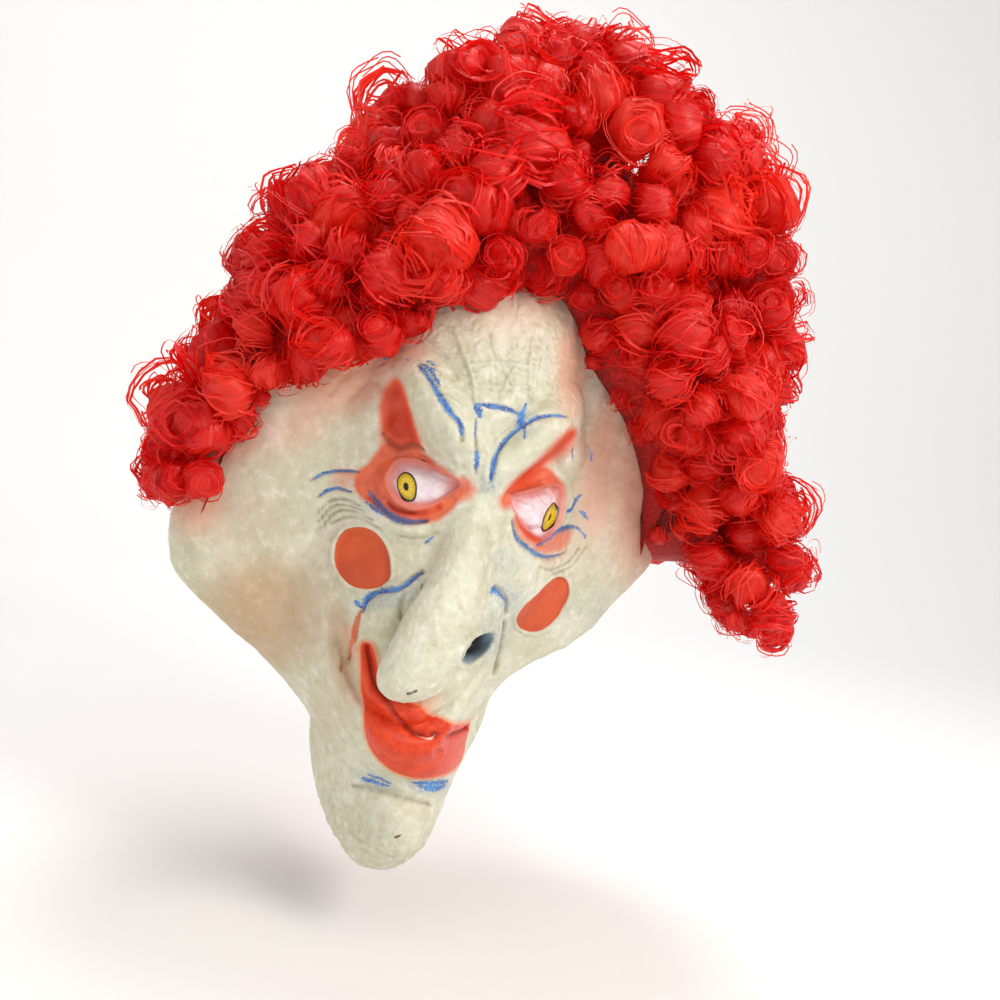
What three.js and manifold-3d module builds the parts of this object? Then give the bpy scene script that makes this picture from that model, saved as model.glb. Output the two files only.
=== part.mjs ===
// A clown mask with its curly wig: one hollow latex mask, moulded with the whole face, and one
// wig that fits round its crown. Millimetres, +Z up. The face looks along -Y, the wearer's right
// side is at -X, and the origin is the inside of the crown, where the mask sits on a head.
import * as THREE from "three";
import { mergeVertices } from "three/addons/utils/BufferGeometryUtils.js";
import Module from "manifold-3d";

// The hood, measured from the bridge of the nose.
const CROWN_RISE = 160; // bridge up to the crown
const CHIN_DROP = 267; // bridge down to the rim under the chin
const NAPE_DROP = 160; // bridge down to the rim at the nape
const HOOD_HALF_WIDTH = 157;
const HOOD_FRONT = 62; // depth in front of the side seam line, without the face
const HOOD_BACK = 76; // depth behind the side seam line
const CHIN_LEAN = 14; // the cheeks and the jaw hang about this far towards -X
const WALL = 2;

// The face stands out of the front of the hood as one block with relief on it.
const FACE_RISE = 57;
const FACE_HALF_WIDTH = 86;
const RELIEF = 15; // deepest hollow of the face, at the eye sockets

const BROW_RISE = 13;
const BROW_HALF_WIDTH = 19;
const BROW_INNER_OUT = 9;
const BROW_INNER_UP = 12;
const BROW_PEAK_OUT = 50;
const BROW_PEAK_UP = 52;
const BROW_END_OUT = 68;
const BROW_END_UP = 26;

const EYE_OUT = 37;
const EYE_DROP = 8;
const EYE_HALF_WIDTH = 21;
const EYE_HALF_HEIGHT = 14.5;
const EYE_BULGE = 11;

const MOUTH_HALF_WIDTH = 48;
const MOUTH_DROP = 150; // the mouth line at the middle
const MOUTH_LIFT = 44; // its corners lie this far above the middle
const UPPER_LIP_RISE = 7;
const LOWER_LIP_RISE = 9;
const MOUTH_GROOVE = 7;

// The long nose: a ridge on the face that ends in a hanging bulb.
const NOSE_TOP_DROP = 0; // where the ridge leaves the face, below the bridge
const NOSE_FOOT_DROP = 90; // where its underside leaves the face
const NOSE_REACH = 48; // how far the ridge comes forward of the bridge
const NOSE_HANG = 100; // how far the ridge comes down
const NOSE_HALF_WIDTH = 22;
const NOSE_HOOK = 19; // how far the bulb bends towards -X
const BULB_LENGTH = 22;
const RIDGE_KEENNESS = 0.5; // share of its width that the nose's ridge lacks at its root
const WING_OUT = 27;
const WING_DROP = 80;
const WING_RISE = 13;
const NOSTRIL_OUT = 18;
const NOSTRIL_DROP = 102;
const NOSTRIL_WIDTH = 11;
const NOSTRIL_HEIGHT = 15;

// The wig.
const WIG_GAP = 0.35;
const HAIR_DEPTH = 138; // height of the hair over the crown
const CLUMP_RADIUS = 44; // one clump of curls
const NAPE_HAIR_DROP = 95; // the hair ends this far below the bridge at the back
const HAIR_SWEEP = 55; // the hair hangs this much fuller at the +X side's lower edge
const HAIR_LEAN = 34; // the top of the hair stands this far towards +X
const HAIR_THINNING = 0.62; // share of the height that the hair lacks over the -X side

const COLUMNS = 36;
const ROWS = 38;

// A table keeps its columns by name.
function table(names, rows) {
  return Object.fromEntries(names.map((name, k) => [name, rows.map((row) => row[k])]));
}

// One horizontal loop of the hood a row, from the crown to the rim. The levels are shares of the
// crown's rise above the bridge, and of the drop to the rim below it.
const HOOD = table(["front", "back", "width", "frontDepth", "backDepth", "lean"], [
  [1.0, 1.0, 0, 0, 0, 0],
  [0.988, 0.988, 0.255, 0.39, 0.34, 0],
  [0.93, 0.94, 0.485, 0.71, 0.63, 0],
  [0.825, 0.84, 0.675, 0.9, 0.815, 0],
  [0.66, 0.69, 0.82, 0.985, 0.92, 0],
  [0.45, 0.5, 0.91, 1.0, 0.985, 0],
  [0.2, 0.26, 0.97, 0.985, 1.0, 0.07],
  [-0.045, 0.01, 1.01, 0.935, 1.0, 0.0],
  [-0.175, -0.21, 1.04, 0.885, 0.985, -0.1],
  [-0.3, -0.4, 1.005, 0.84, 0.95, 0.75],
  [-0.425, -0.56, 0.915, 0.825, 0.895, 1.25],
  [-0.545, -0.7, 0.66, 0.81, 0.83, 1.4],
  [-0.66, -0.8, 0.5, 0.775, 0.765, 0.8],
  [-0.765, -0.875, 0.42, 0.74, 0.725, 0.1],
  [-0.865, -0.93, 0.36, 0.695, 0.685, 0.0],
  [-0.945, -0.97, 0.325, 0.6, 0.67, 0.25],
  [-0.99, -0.99, 0.305, 0.47, 0.66, 0.4],
  [-1.0, -1.0, 0.285, 0.39, 0.645, 0.4],
]);

// The face block: how far it stands out and how wide it is, level by level.
const FACE = table(["level", "rise", "width"], [
  [0.92, 0, 0.58],
  [0.825, 0.1, 0.68],
  [0.66, 0.33, 0.79],
  [0.45, 0.56, 0.86],
  [0.2, 0.75, 0.92],
  [-0.045, 0.81, 0.98],
  [-0.19, 0.84, 1.0],
  [-0.325, 0.895, 0.955],
  [-0.445, 0.965, 0.86],
  [-0.555, 1.0, 0.77],
  [-0.66, 0.93, 0.66],
  [-0.735, 0.755, 0.59],
  [-0.8, 0.84, 0.535],
  [-0.885, 0.86, 0.475],
  [-0.96, 0.685, 0.42],
  [-1.01, 0.455, 0.37],
]);

// Soft mounds and hollows, the same on both sides. Places and reaches across are shares of the
// face's half width, places and reaches up and down are shares as in the tables above.
const MOUNDS = [
  { what: "forehead knob", out: 0.3, level: 0.5, across: 0.28, along: 0.12, rise: 0.33 },
  { what: "eye socket", out: 0.44, level: 0.01, across: 0.28, along: 0.07, rise: -1 },
  { what: "under the brow's end", out: 0.56, level: 0.15, across: 0.14, along: 0.045, rise: -0.33 },
  { what: "inner corner of the eye", out: 0.16, level: -0.023, across: 0.09, along: 0.04, rise: -0.33 },
  { what: "bag under the eye", out: 0.49, level: -0.12, across: 0.28, along: 0.03, rise: 0.27 },
  { what: "cheek", out: 0.6, level: -0.23, across: 0.35, along: 0.115, rise: 0.6 },
  { what: "muzzle", out: 0.28, level: -0.43, across: 0.28, along: 0.075, rise: 0.47 },
  { what: "crease over the chin", out: 0, level: -0.74, across: 0.47, along: 0.027, rise: -0.33 },
  { what: "ball of the chin", out: 0, level: -0.865, across: 0.3, along: 0.085, rise: 0.47 },
];

// The fold from beside the nose to beside the mouth, as shares of the face's half width and of
// the drop to the chin.
const CHEEK_FOLD = table(["out", "drop"], [[0.37, 0.25], [0.6, 0.275], [0.67, 0.32], [0.65, 0.4]]);
const CHEEK_FOLD_DEPTH = 5;

// The nose from the face (0) to the bulb (1): its ridge and its underside as shares of the hook,
// the reach, the hang and the half width.
const NOSE = table(
  ["ridgeHook", "ridgeReach", "ridgeHang", "underHook", "underReach", "underHang", "width"],
  [
    [-0.12, 0, 0, 0, 0, 0, 0.75],
    [-0.1, 0.25, 0.27, 0.06, 0.06, 0.06, 0.66],
    [0.3, 0.62, 0.56, 0.4, 0.14, 0.12, 1.0],
    [0.7, 0.92, 0.82, 0.7, 0.2, 0.17, 1.08],
    [1.0, 1.0, 1.0, 0.95, 0.25, 0.23, 1.04],
  ],
);

// The hairline from the middle of the forehead out to the side: how far out, as a share of the
// hood's half width, and how high, as a share of the crown's rise.
const HAIRLINE = table(["out", "right", "left"], [
  [0, 0.76, 0.76],
  [0.25, 0.63, 0.75],
  [0.4, 0.47, 0.56],
  [0.57, 0.41, 0.42],
  [0.72, 0.28, 0.27],
  [0.9, 0.03, 0.0],
  [1.0, -0.3, -0.3],
]);

// Rings of clumps from the crown (0) to the edge of the hair (1), with their number, the height of
// the hair there as a share of the hair's depth, and the size of a clump.
const CLUMPS = table(["place", "count", "height", "size"], [
  [0.0, 1, 1.0, 0.9],
  [0.16, 6, 0.92, 0.96],
  [0.36, 10, 0.72, 0.95],
  [0.55, 13, 0.56, 0.9],
  [0.72, 15, 0.48, 0.84],
  [0.86, 16, 0.44, 0.76],
  [0.97, 20, 0.36, 0.64],
]);

// Value of a column at a place counted in rows, on a smooth curve through its rows.
function along(column, place) {
  const last = column.length - 1;
  const t = Math.min(Math.max(place, 0), last - 1e-9);
  const i = Math.floor(t);
  const f = t - i;
  const a = column[Math.max(i - 1, 0)];
  const b = column[i];
  const c = column[i + 1];
  const d = column[Math.min(i + 2, last)];
  return b + 0.5 * f * (c - a + f * (2 * a - 5 * b + 4 * c - d + f * (3 * (b - c) + d - a)));
}

// Place, counted in rows, at which a falling or rising column passes a value.
function placeOf(column, value) {
  const sign = Math.sign(column[column.length - 1] - column[0]);
  if (sign * (value - column[0]) <= 0) return 0;
  for (let i = 1; i < column.length; i += 1) {
    if (sign * (value - column[i]) <= 0) {
      return i - 1 + (value - column[i - 1]) / (column[i] - column[i - 1]);
    }
  }
  return column.length - 1;
}

function smooth(from, to, value) {
  const u = Math.min(Math.max((value - from) / (to - from), 0), 1);
  return u * u * (3 - 2 * u);
}

const shareOf = (height, drop) => (height > 0 ? height / CROWN_RISE : height / drop);
const heightOf = (share, drop) => (share > 0 ? share * CROWN_RISE : share * drop);
const bell = (u, v) => Math.exp(-(u * u + v * v));
const cap = (u, v, power) => Math.max(0, 1 - u * u - v * v) ** power;

// Distance from a point of the face to a straight line, and how far along the line it is.
function toLine(x, h, x0, h0, x1, h1) {
  const run = (x1 - x0) ** 2 + (h1 - h0) ** 2;
  const t = Math.min(Math.max(((x - x0) * (x1 - x0) + (h - h0) * (h1 - h0)) / run, 0), 1);
  return { distance: Math.hypot(x - x0 - t * (x1 - x0), h - h0 - t * (h1 - h0)), t };
}

function browRise(x, h) {
  const inner = toLine(x, h, BROW_INNER_OUT, BROW_INNER_UP, BROW_PEAK_OUT, BROW_PEAK_UP);
  const outer = toLine(x, h, BROW_PEAK_OUT, BROW_PEAK_UP, BROW_END_OUT, BROW_END_UP);
  const reach = BROW_HALF_WIDTH * (0.93 + 0.2 * inner.t);
  const ridge = (0.92 + 0.23 * inner.t) * cap(inner.distance / reach, 0, 1.1);
  const end = (1 - 0.4 * outer.t) * cap(outer.distance / (0.78 * BROW_HALF_WIDTH), 0, 1.2);
  return BROW_RISE * Math.max(ridge, end);
}

function cheekFold(x, h) {
  let nearest = Infinity;
  for (let i = 1; i < CHEEK_FOLD.out.length; i += 1) {
    const [x0, x1] = [i - 1, i].map((k) => CHEEK_FOLD.out[k] * FACE_HALF_WIDTH);
    const [h0, h1] = [i - 1, i].map((k) => -CHEEK_FOLD.drop[k] * CHIN_DROP);
    nearest = Math.min(nearest, toLine(x, h, x0, h0, x1, h1).distance);
  }
  return -CHEEK_FOLD_DEPTH * bell(nearest / (1.5 * CHEEK_FOLD_DEPTH), 0);
}

function mouthRise(x, h) {
  const line = -MOUTH_DROP + MOUTH_LIFT * Math.min(1, x / MOUTH_HALF_WIDTH) ** 2;
  const inside = smooth(1.13 * MOUTH_HALF_WIDTH, 0.92 * MOUTH_HALF_WIDTH, x);
  const upper = UPPER_LIP_RISE * bell((h - line) / (1.1 * UPPER_LIP_RISE) - 1.15, 0);
  const lower = LOWER_LIP_RISE * bell((h - line) / (1.2 * LOWER_LIP_RISE) + 1.2, 0);
  return inside * (upper + lower - MOUTH_GROOVE * bell((h - line) / MOUTH_GROOVE, 0));
}

// How far the face stands out of the hood at one place, x across and h above the bridge.
function faceRise(x, h) {
  const out = Math.abs(x);
  const place = placeOf(FACE.level, shareOf(h, CHIN_DROP));
  const width = along(FACE.width, place) * FACE_HALF_WIDTH;
  let rise = FACE_RISE * along(FACE.rise, place) * (1 - Math.min(out / width, 1) ** 2.3) ** 1.5;
  for (const mound of MOUNDS) {
    const across = (out - mound.out * FACE_HALF_WIDTH) / (mound.across * FACE_HALF_WIDTH);
    const upDown = (h - heightOf(mound.level, CHIN_DROP)) / (mound.along * CHIN_DROP);
    rise += mound.rise * RELIEF * bell(across, upDown);
  }
  rise += browRise(out, h) + cheekFold(out, h) + mouthRise(out, h);
  rise += EYE_BULGE * cap((out - EYE_OUT) / EYE_HALF_WIDTH, (h + EYE_DROP) / EYE_HALF_HEIGHT, 0.75);
  const wing = WING_RISE * cap((out - WING_OUT) / WING_RISE, (h + WING_DROP) / (1.5 * WING_RISE), 0.6);
  return rise + wing;
}

// A point of the mask's outside: turn goes round the hood with the face at -90 degrees, and place
// goes down the rows of the hood's table.
function maskPoint(turn, place) {
  const forward = -Math.sin(turn);
  const frontness = ((1 + forward) / 2) ** 1.6;
  const front = heightOf(along(HOOD.front, place), CHIN_DROP);
  const back = heightOf(along(HOOD.back, place), NAPE_DROP);
  const h = back + (front - back) * frontness;
  const x = Math.max(along(HOOD.width, place), 0) * HOOD_HALF_WIDTH * Math.cos(turn);
  const depth = forward > 0
    ? Math.max(along(HOOD.frontDepth, place), 0) * HOOD_FRONT
    : Math.max(along(HOOD.backDepth, place), 0) * HOOD_BACK;
  const face = smooth(0.02, 0.3, forward) * faceRise(x, h);
  const lean = CHIN_LEAN * along(HOOD.lean, place);
  return new THREE.Vector3(x - lean, -forward * depth - face, h - CROWN_RISE + WALL);
}

const lastPlace = HOOD.front.length - 1;

// The columns lie closer together on the face than on the back of the hood.
function columnTurn(column) {
  const u = (2 * column) / COLUMNS - 1;
  return -Math.PI / 2 + Math.PI * (0.4 * u + 0.6 * u ** 3);
}

// The rows lie closer together from the brows to the chin than at the crown and the rim.
const ROW_SPREAD = table(["share", "place"], [[0, 0], [0.15, 0.235], [0.25, 0.325], [0.9, 0.78], [1, 1]]);

function rowPlace(row) {
  const spot = placeOf(ROW_SPREAD.share, row / ROWS);
  const i = Math.min(Math.floor(spot), ROW_SPREAD.place.length - 2);
  return lastPlace * THREE.MathUtils.lerp(ROW_SPREAD.place[i], ROW_SPREAD.place[i + 1], spot - i);
}

// A ring round the nose, from the face (0) to the bulb (1). Each point keeps the angle that it
// has on the ring where the nose leaves the face.
function noseRing(share, angles, root) {
  const place = share * (NOSE.width.length - 1);
  const at = (name) => along(NOSE[name], place);
  const ridge = new THREE.Vector3(
    root.x - at("ridgeHook") * NOSE_HOOK,
    root.ridgeY - at("ridgeReach") * NOSE_REACH,
    root.ridgeZ - at("ridgeHang") * NOSE_HANG,
  );
  const under = new THREE.Vector3(
    root.x - at("underHook") * NOSE_HOOK,
    root.underY - at("underReach") * NOSE_REACH,
    root.underZ - at("underHang") * NOSE_HANG,
  );
  const middle = ridge.clone().add(under).multiplyScalar(0.5);
  const up = ridge.sub(middle);
  const keen = RIDGE_KEENNESS * smooth(0.75, 0.1, share);
  const across = (angle) => at("width") * NOSE_HALF_WIDTH * (1 - keen * Math.max(0, Math.sin(angle)));
  return angles.map((angle) => new THREE.Vector3(
    middle.x + across(angle) * Math.cos(angle) + up.x * Math.sin(angle),
    middle.y + up.y * Math.sin(angle),
    middle.z + up.z * Math.sin(angle),
  ));
}

// The mask's outside as one open sheet with shared points: points, triangles that face out, and
// the points of its rim in order.
function maskSheet() {
  const points = [maskPoint(0, 0)];
  for (let row = 1; row <= ROWS; row += 1) {
    for (let column = 0; column < COLUMNS; column += 1) {
      points.push(maskPoint(columnTurn(column), rowPlace(row)));
    }
  }
  const index = (row, column) => 1 + (row - 1) * COLUMNS + ((column + COLUMNS) % COLUMNS);
  const middle = COLUMNS / 2;
  const nearestRow = (h) => {
    let best = 1;
    for (let row = 1; row <= ROWS; row += 1) {
      const miss = Math.abs(points[index(row, middle)].z + CROWN_RISE - WALL - h);
      if (miss < Math.abs(points[index(best, middle)].z + CROWN_RISE - WALL - h)) best = row;
    }
    return best;
  };
  const top = nearestRow(-NOSE_TOP_DROP);
  const foot = nearestRow(-NOSE_FOOT_DROP);
  const level = Math.round((top + foot) / 2);
  let side = 1;
  while (points[index(level, middle + side + 1)].x < 0.95 * NOSE_HALF_WIDTH) side += 1;

  const triangles = [];
  const quad = (a, b, c, d) => {
    const across = points[a].distanceTo(points[c]) < points[b].distanceTo(points[d]);
    if (across) triangles.push([a, b, c], [a, c, d]);
    else triangles.push([a, b, d], [b, c, d]);
  };
  for (let column = 0; column < COLUMNS; column += 1) {
    triangles.push([0, index(1, column), index(1, column + 1)]);
    for (let row = 1; row < ROWS; row += 1) {
      const onNose = row >= top && row < foot && column >= middle - side && column < middle + side;
      if (onNose) continue;
      quad(index(row, column), index(row + 1, column), index(row + 1, column + 1), index(row, column + 1));
    }
  }

  const loop = [];
  for (let column = middle - side; column < middle + side; column += 1) loop.push(index(top, column));
  for (let row = top; row < foot; row += 1) loop.push(index(row, middle + side));
  for (let column = middle + side; column > middle - side; column -= 1) loop.push(index(foot, column));
  for (let row = foot; row > top; row -= 1) loop.push(index(row, middle - side));
  addNose(points, triangles, loop, points[index(top, middle)], points[index(foot, middle)]);

  const rim = [];
  for (let column = 0; column < COLUMNS; column += 1) rim.push(index(ROWS, column));
  return { points, triangles, rim };
}

// The nose grows out of a closed loop of points on the face.
function addNose(points, triangles, loop, top, foot) {
  const root = { x: (top.x + foot.x) / 2, ridgeY: top.y, ridgeZ: top.z, underY: foot.y, underZ: foot.z };
  const start = loop.map((i) => points[i].clone());
  const middleZ = (top.z + foot.z) / 2;
  const angles = start.map((p) => Math.atan2(
    (p.z - middleZ) / ((top.z - foot.z) / 2),
    (p.x - root.x) / NOSE_HALF_WIDTH,
  ));
  const flat = noseRing(0, angles, root);
  let previous = loop;
  const join = (ring) => {
    const first = points.length;
    points.push(...ring);
    const next = ring.map((_, k) => first + k);
    next.forEach((_, k) => {
      const after = (k + 1) % next.length;
      triangles.push([previous[k], next[k], next[after]], [previous[k], next[after], previous[after]]);
    });
    previous = next;
  };
  const rings = 7;
  for (let k = 1; k <= rings; k += 1) {
    const blend = 1 - smooth(0, 0.22, k / rings);
    const ring = noseRing(k / rings, angles, root);
    join(ring.map((p, i) => p.addScaledVector(start[i].clone().sub(flat[i]), blend)));
  }
  const end = noseRing(1, angles, root);
  const centre = end.reduce((sum, p) => sum.add(p), new THREE.Vector3()).divideScalar(end.length);
  const axis = new THREE.Vector3(-0.34, -0.2, -0.92).normalize().multiplyScalar(BULB_LENGTH);
  for (const share of [0.4, 0.72, 0.93]) {
    const narrow = Math.sqrt(1 - share * share);
    join(end.map((p) => centre.clone().addScaledVector(axis, share)
      .addScaledVector(p.clone().sub(centre), narrow)));
  }
  const tip = points.length;
  points.push(centre.clone().add(axis));
  previous.forEach((p, k) => triangles.push([p, tip, previous[(k + 1) % previous.length]]));
}

// The same sheet moved along its own normals.
function moved(sheet, distance) {
  const geometry = new THREE.BufferGeometry();
  geometry.setAttribute("position", new THREE.Float32BufferAttribute(
    sheet.points.flatMap((p) => p.toArray()), 3));
  geometry.setIndex(sheet.triangles.flat());
  geometry.computeVertexNormals();
  const normals = geometry.getAttribute("normal");
  return sheet.points.map((p, i) => p.clone()
    .addScaledVector(new THREE.Vector3().fromBufferAttribute(normals, i), distance));
}

const wasm = await Module();
wasm.setup();

function solid(points, triangles) {
  return new wasm.Manifold(new wasm.Mesh({
    numProp: 3,
    vertProperties: new Float32Array(points.flatMap((p) => p.toArray())),
    triVerts: new Uint32Array(triangles.flat()),
  }));
}

function geometrySolid(geometry) {
  geometry.deleteAttribute("normal");
  geometry.deleteAttribute("uv");
  const merged = mergeVertices(geometry, 1e-3);
  return new wasm.Manifold(new wasm.Mesh({
    numProp: 3,
    vertProperties: new Float32Array(merged.getAttribute("position").array),
    triVerts: new Uint32Array(merged.getIndex().array),
  }));
}

function solidGeometry(manifold) {
  const mesh = manifold.getMesh();
  const geometry = new THREE.BufferGeometry();
  geometry.setAttribute("position", new THREE.BufferAttribute(new Float32Array(mesh.vertProperties), 3));
  geometry.setIndex(new THREE.BufferAttribute(new Uint32Array(mesh.triVerts), 1));
  return geometry;
}

// Outside sheet, inside sheet one wall further in, and a strip round the rim.
function maskShell(sheet) {
  const inside = moved(sheet, -WALL);
  const count = sheet.points.length;
  const triangles = [...sheet.triangles];
  sheet.triangles.forEach(([a, b, c]) => triangles.push([a + count, c + count, b + count]));
  sheet.rim.forEach((a, k) => {
    const b = sheet.rim[(k + 1) % sheet.rim.length];
    triangles.push([a, a + count, b + count], [a, b + count, b]);
  });
  return solid([...sheet.points, ...inside], triangles);
}

// An oval plug through the wall beside the nose, on one side.
function nostrilPlug(side) {
  const h = -NOSTRIL_DROP;
  const share = shareOf(h, CHIN_DROP);
  const x = side * NOSTRIL_OUT - CHIN_LEAN * along(HOOD.lean, placeOf(HOOD.front, share));
  const depth = HOOD_FRONT * along(HOOD.frontDepth, placeOf(HOOD.front, share)) + faceRise(NOSTRIL_OUT, h);
  const plug = new THREE.CylinderGeometry(0.5, 0.5, 8 * WALL, 12);
  plug.scale(NOSTRIL_WIDTH, 1, NOSTRIL_HEIGHT);
  plug.translate(x, -depth, h - CROWN_RISE + WALL);
  return geometrySolid(plug);
}

// The mask's outside as a full body, which is what the wig fits over.
function headBody(sheet) {
  const points = moved(sheet, WIG_GAP);
  const centre = points.length;
  const middle = sheet.rim.reduce((sum, i) => sum.add(points[i]), new THREE.Vector3());
  const triangles = [...sheet.triangles];
  sheet.rim.forEach((a, k) => triangles.push([a, centre, sheet.rim[(k + 1) % sheet.rim.length]]));
  return solid([...points, middle.divideScalar(sheet.rim.length)], triangles);
}

// Place, down the hood's rows, at which the hair ends on one column.
function hairEdge(turn) {
  const forward = -Math.sin(turn);
  let low = 0;
  let high = lastPlace;
  for (let step = 0; step < 24; step += 1) {
    const place = (low + high) / 2;
    const point = maskPoint(turn, place);
    const out = Math.min(Math.abs(point.x) / HOOD_HALF_WIDTH, 1);
    const line = along(point.x < 0 ? HAIRLINE.right : HAIRLINE.left, placeOf(HAIRLINE.out, out));
    const frontEdge = heightOf(line, CHIN_DROP);
    const backEdge = -NAPE_HAIR_DROP;
    const edge = backEdge + (frontEdge - backEdge) * smooth(-0.35, 0.1, forward);
    if (point.z + CROWN_RISE - WALL > edge) low = place;
    else high = place;
  }
  return (low + high) / 2;
}

// A point in the hair: share goes from the crown (0) to the edge of the hair (1), and height is
// how far it lies off the mask.
function hairPoint(turn, share, height) {
  const place = Math.max(share, 0.002) * hairEdge(turn);
  const here = maskPoint(turn, place);
  const step = 0.02;
  const round = maskPoint(turn + step, place).sub(maskPoint(turn - step, place));
  const down = maskPoint(turn, place + step).sub(maskPoint(turn, Math.max(place - step, 0)));
  const out = down.cross(round).normalize();
  if (share < 0.01) out.set(0, 0, 1);
  here.addScaledVector(out, height);
  here.x += HAIR_LEAN * Math.max(height, 0) / HAIR_DEPTH;
  return here;
}

// Height of the hair off the mask.
function hairHeight(turn, share) {
  const height = HAIR_DEPTH * along(CLUMPS.height, placeOf(CLUMPS.place, share));
  const band = smooth(0.02, 0.3, share) * smooth(1.05, 0.5, share);
  const thinner = 1 - HAIR_THINNING * Math.max(0, -Math.cos(turn)) * band;
  return height * thinner + HAIR_SWEEP * Math.max(0, Math.cos(turn)) * smooth(0.6, 1, share);
}

function clumpRadius(share) {
  return CLUMP_RADIUS * along(CLUMPS.size, placeOf(CLUMPS.place, share));
}

// The dense inner hair, which carries the clumps: it follows the mask and thins to the hairline.
function hairCore() {
  const columns = 24;
  const rows = 6;
  const sink = 3 * WALL;
  const points = [hairPoint(0, 0, HAIR_DEPTH - clumpRadius(0)), hairPoint(0, 0, -sink)];
  for (let row = 1; row <= rows; row += 1) {
    const share = row / rows;
    for (const layer of ["outer", "inner"]) {
      for (let column = 0; column < columns; column += 1) {
        const turn = (2 * Math.PI * column) / columns;
        const full = hairHeight(turn, share) - clumpRadius(share);
        points.push(hairPoint(turn, share, layer === "outer" ? Math.max(full, sink) : -sink));
      }
    }
  }
  const index = (row, layer, column) => 2 + ((row - 1) * 2 + layer) * columns + (column % columns);
  const triangles = [];
  const quad = (a, b, c, d) => triangles.push([a, b, c], [a, c, d]);
  for (let column = 0; column < columns; column += 1) {
    const next = column + 1;
    triangles.push([0, index(1, 0, column), index(1, 0, next)], [1, index(1, 1, next), index(1, 1, column)]);
    for (let row = 1; row < rows; row += 1) {
      quad(index(row, 0, column), index(row + 1, 0, column), index(row + 1, 0, next), index(row, 0, next));
      quad(index(row, 1, column), index(row, 1, next), index(row + 1, 1, next), index(row + 1, 1, column));
    }
    quad(index(rows, 0, column), index(rows, 1, column), index(rows, 1, next), index(rows, 0, next));
  }
  return solid(points, triangles);
}

// A steady number from 0 to 1 for clump number n.
function chance(n) {
  const mixed = Math.sin(n * 127.1 + 11.7) * 43758.5453;
  return mixed - Math.floor(mixed);
}

function clumps() {
  const found = [];
  let number = 0;
  CLUMPS.place.forEach((share, ring) => {
    const count = CLUMPS.count[ring];
    for (let k = 0; k < count; k += 1) {
      number += 1;
      const even = (2 * Math.PI * (k + 0.5 * (ring % 2))) / count;
      const turn = even + 0.18 * Math.sin(2 * even) + 0.12 * (chance(number) - 0.5);
      const radius = clumpRadius(share) * (0.9 + 0.2 * chance(number + 0.5));
      const height = hairHeight(turn, share) * (0.94 + 0.12 * chance(number + 0.25));
      const low = share > 0.9 && k % 2 === 1 ? 0.4 : 1;
      const centre = hairPoint(turn, share, Math.max(low * (height - radius), 0.2 * radius));
      const clump = new THREE.IcosahedronGeometry(1.08 * radius, 0);
      clump.rotateX(6 * chance(number + 0.75));
      clump.rotateZ(6 * chance(number + 0.1));
      clump.translate(centre.x, centre.y, centre.z);
      found.push(geometrySolid(clump));
    }
  });
  return found;
}

// The same body with any pocket that its clumps sealed in closed up.
function filled(body) {
  const outer = body.decompose().filter((part) => part.volume() > 0);
  return outer.reduce((whole, part) => whole.add(part));
}

const sheet = maskSheet();

let mask = maskShell(sheet);
for (const side of [-1, 1]) mask = mask.subtract(nostrilPlug(side));

let wig = hairCore();
for (const clump of clumps()) wig = wig.add(clump);
wig = filled(wig.subtract(headBody(sheet)));

const latex = new THREE.MeshStandardMaterial({ color: 0xe9dfc6, roughness: 0.5, metalness: 0 });
const hair = new THREE.MeshStandardMaterial({ color: 0xd8241a, roughness: 0.6, metalness: 0 });

const clownMask = new THREE.Group();
const maskMesh = new THREE.Mesh(solidGeometry(mask), latex);
maskMesh.name = "latex_mask";
const wigMesh = new THREE.Mesh(solidGeometry(wig), hair);
wigMesh.name = "curly_wig";
clownMask.add(maskMesh, wigMesh);

export default clownMask;
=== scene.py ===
# %% [markdown]
# # A clown mask with a curly wig
# The object is a pull-over clown mask: one hollow latex skin about 2 mm thick, moulded with brows,
# eyes, a long nose, lips and a chin, then painted by hand, with a curly wig of acrylic fibre glued
# round its crown. This lesson builds the skin as one dense sheet with real relief, stores the paint
# as fields on its points, and makes the hair with Geometry Nodes.

# %% Load the frame
import math

import bpy
import numpy as np
from mathutils import Matrix, Vector, noise
from mathutils.bvhtree import BVHTree


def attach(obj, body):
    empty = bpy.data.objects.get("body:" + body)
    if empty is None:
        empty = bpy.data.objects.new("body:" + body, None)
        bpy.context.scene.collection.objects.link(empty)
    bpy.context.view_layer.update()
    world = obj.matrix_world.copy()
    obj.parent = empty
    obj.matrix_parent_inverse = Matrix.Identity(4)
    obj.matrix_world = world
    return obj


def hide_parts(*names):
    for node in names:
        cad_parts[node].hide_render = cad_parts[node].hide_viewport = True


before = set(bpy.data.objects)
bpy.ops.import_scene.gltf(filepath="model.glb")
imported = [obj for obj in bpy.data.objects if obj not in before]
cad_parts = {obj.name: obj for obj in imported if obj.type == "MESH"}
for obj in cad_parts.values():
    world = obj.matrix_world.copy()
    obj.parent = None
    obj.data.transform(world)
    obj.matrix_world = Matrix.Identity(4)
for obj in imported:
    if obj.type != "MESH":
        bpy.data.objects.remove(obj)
bpy.context.view_layer.update()
MM = 0.001

# %% [markdown]
# ## The camera
# The photograph looks at the mask a little from its right side and from slightly above, and the
# mask hangs turned in the hand. Turning the camera about its own axis gives the same picture, and
# the object stays upright in its own frame.

# %% Camera
PHOTO_SIDE = 1000
CAMERA_TURN = math.radians(-18)
CAMERA_RISE = math.radians(6)
CAMERA_ROLL = math.radians(12)
CAMERA_DISTANCE = 0.75
CAMERA_SHIFT = (0.0096, -0.0078)
BRIDGE = Vector((0, -0.104, -0.158))

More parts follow.
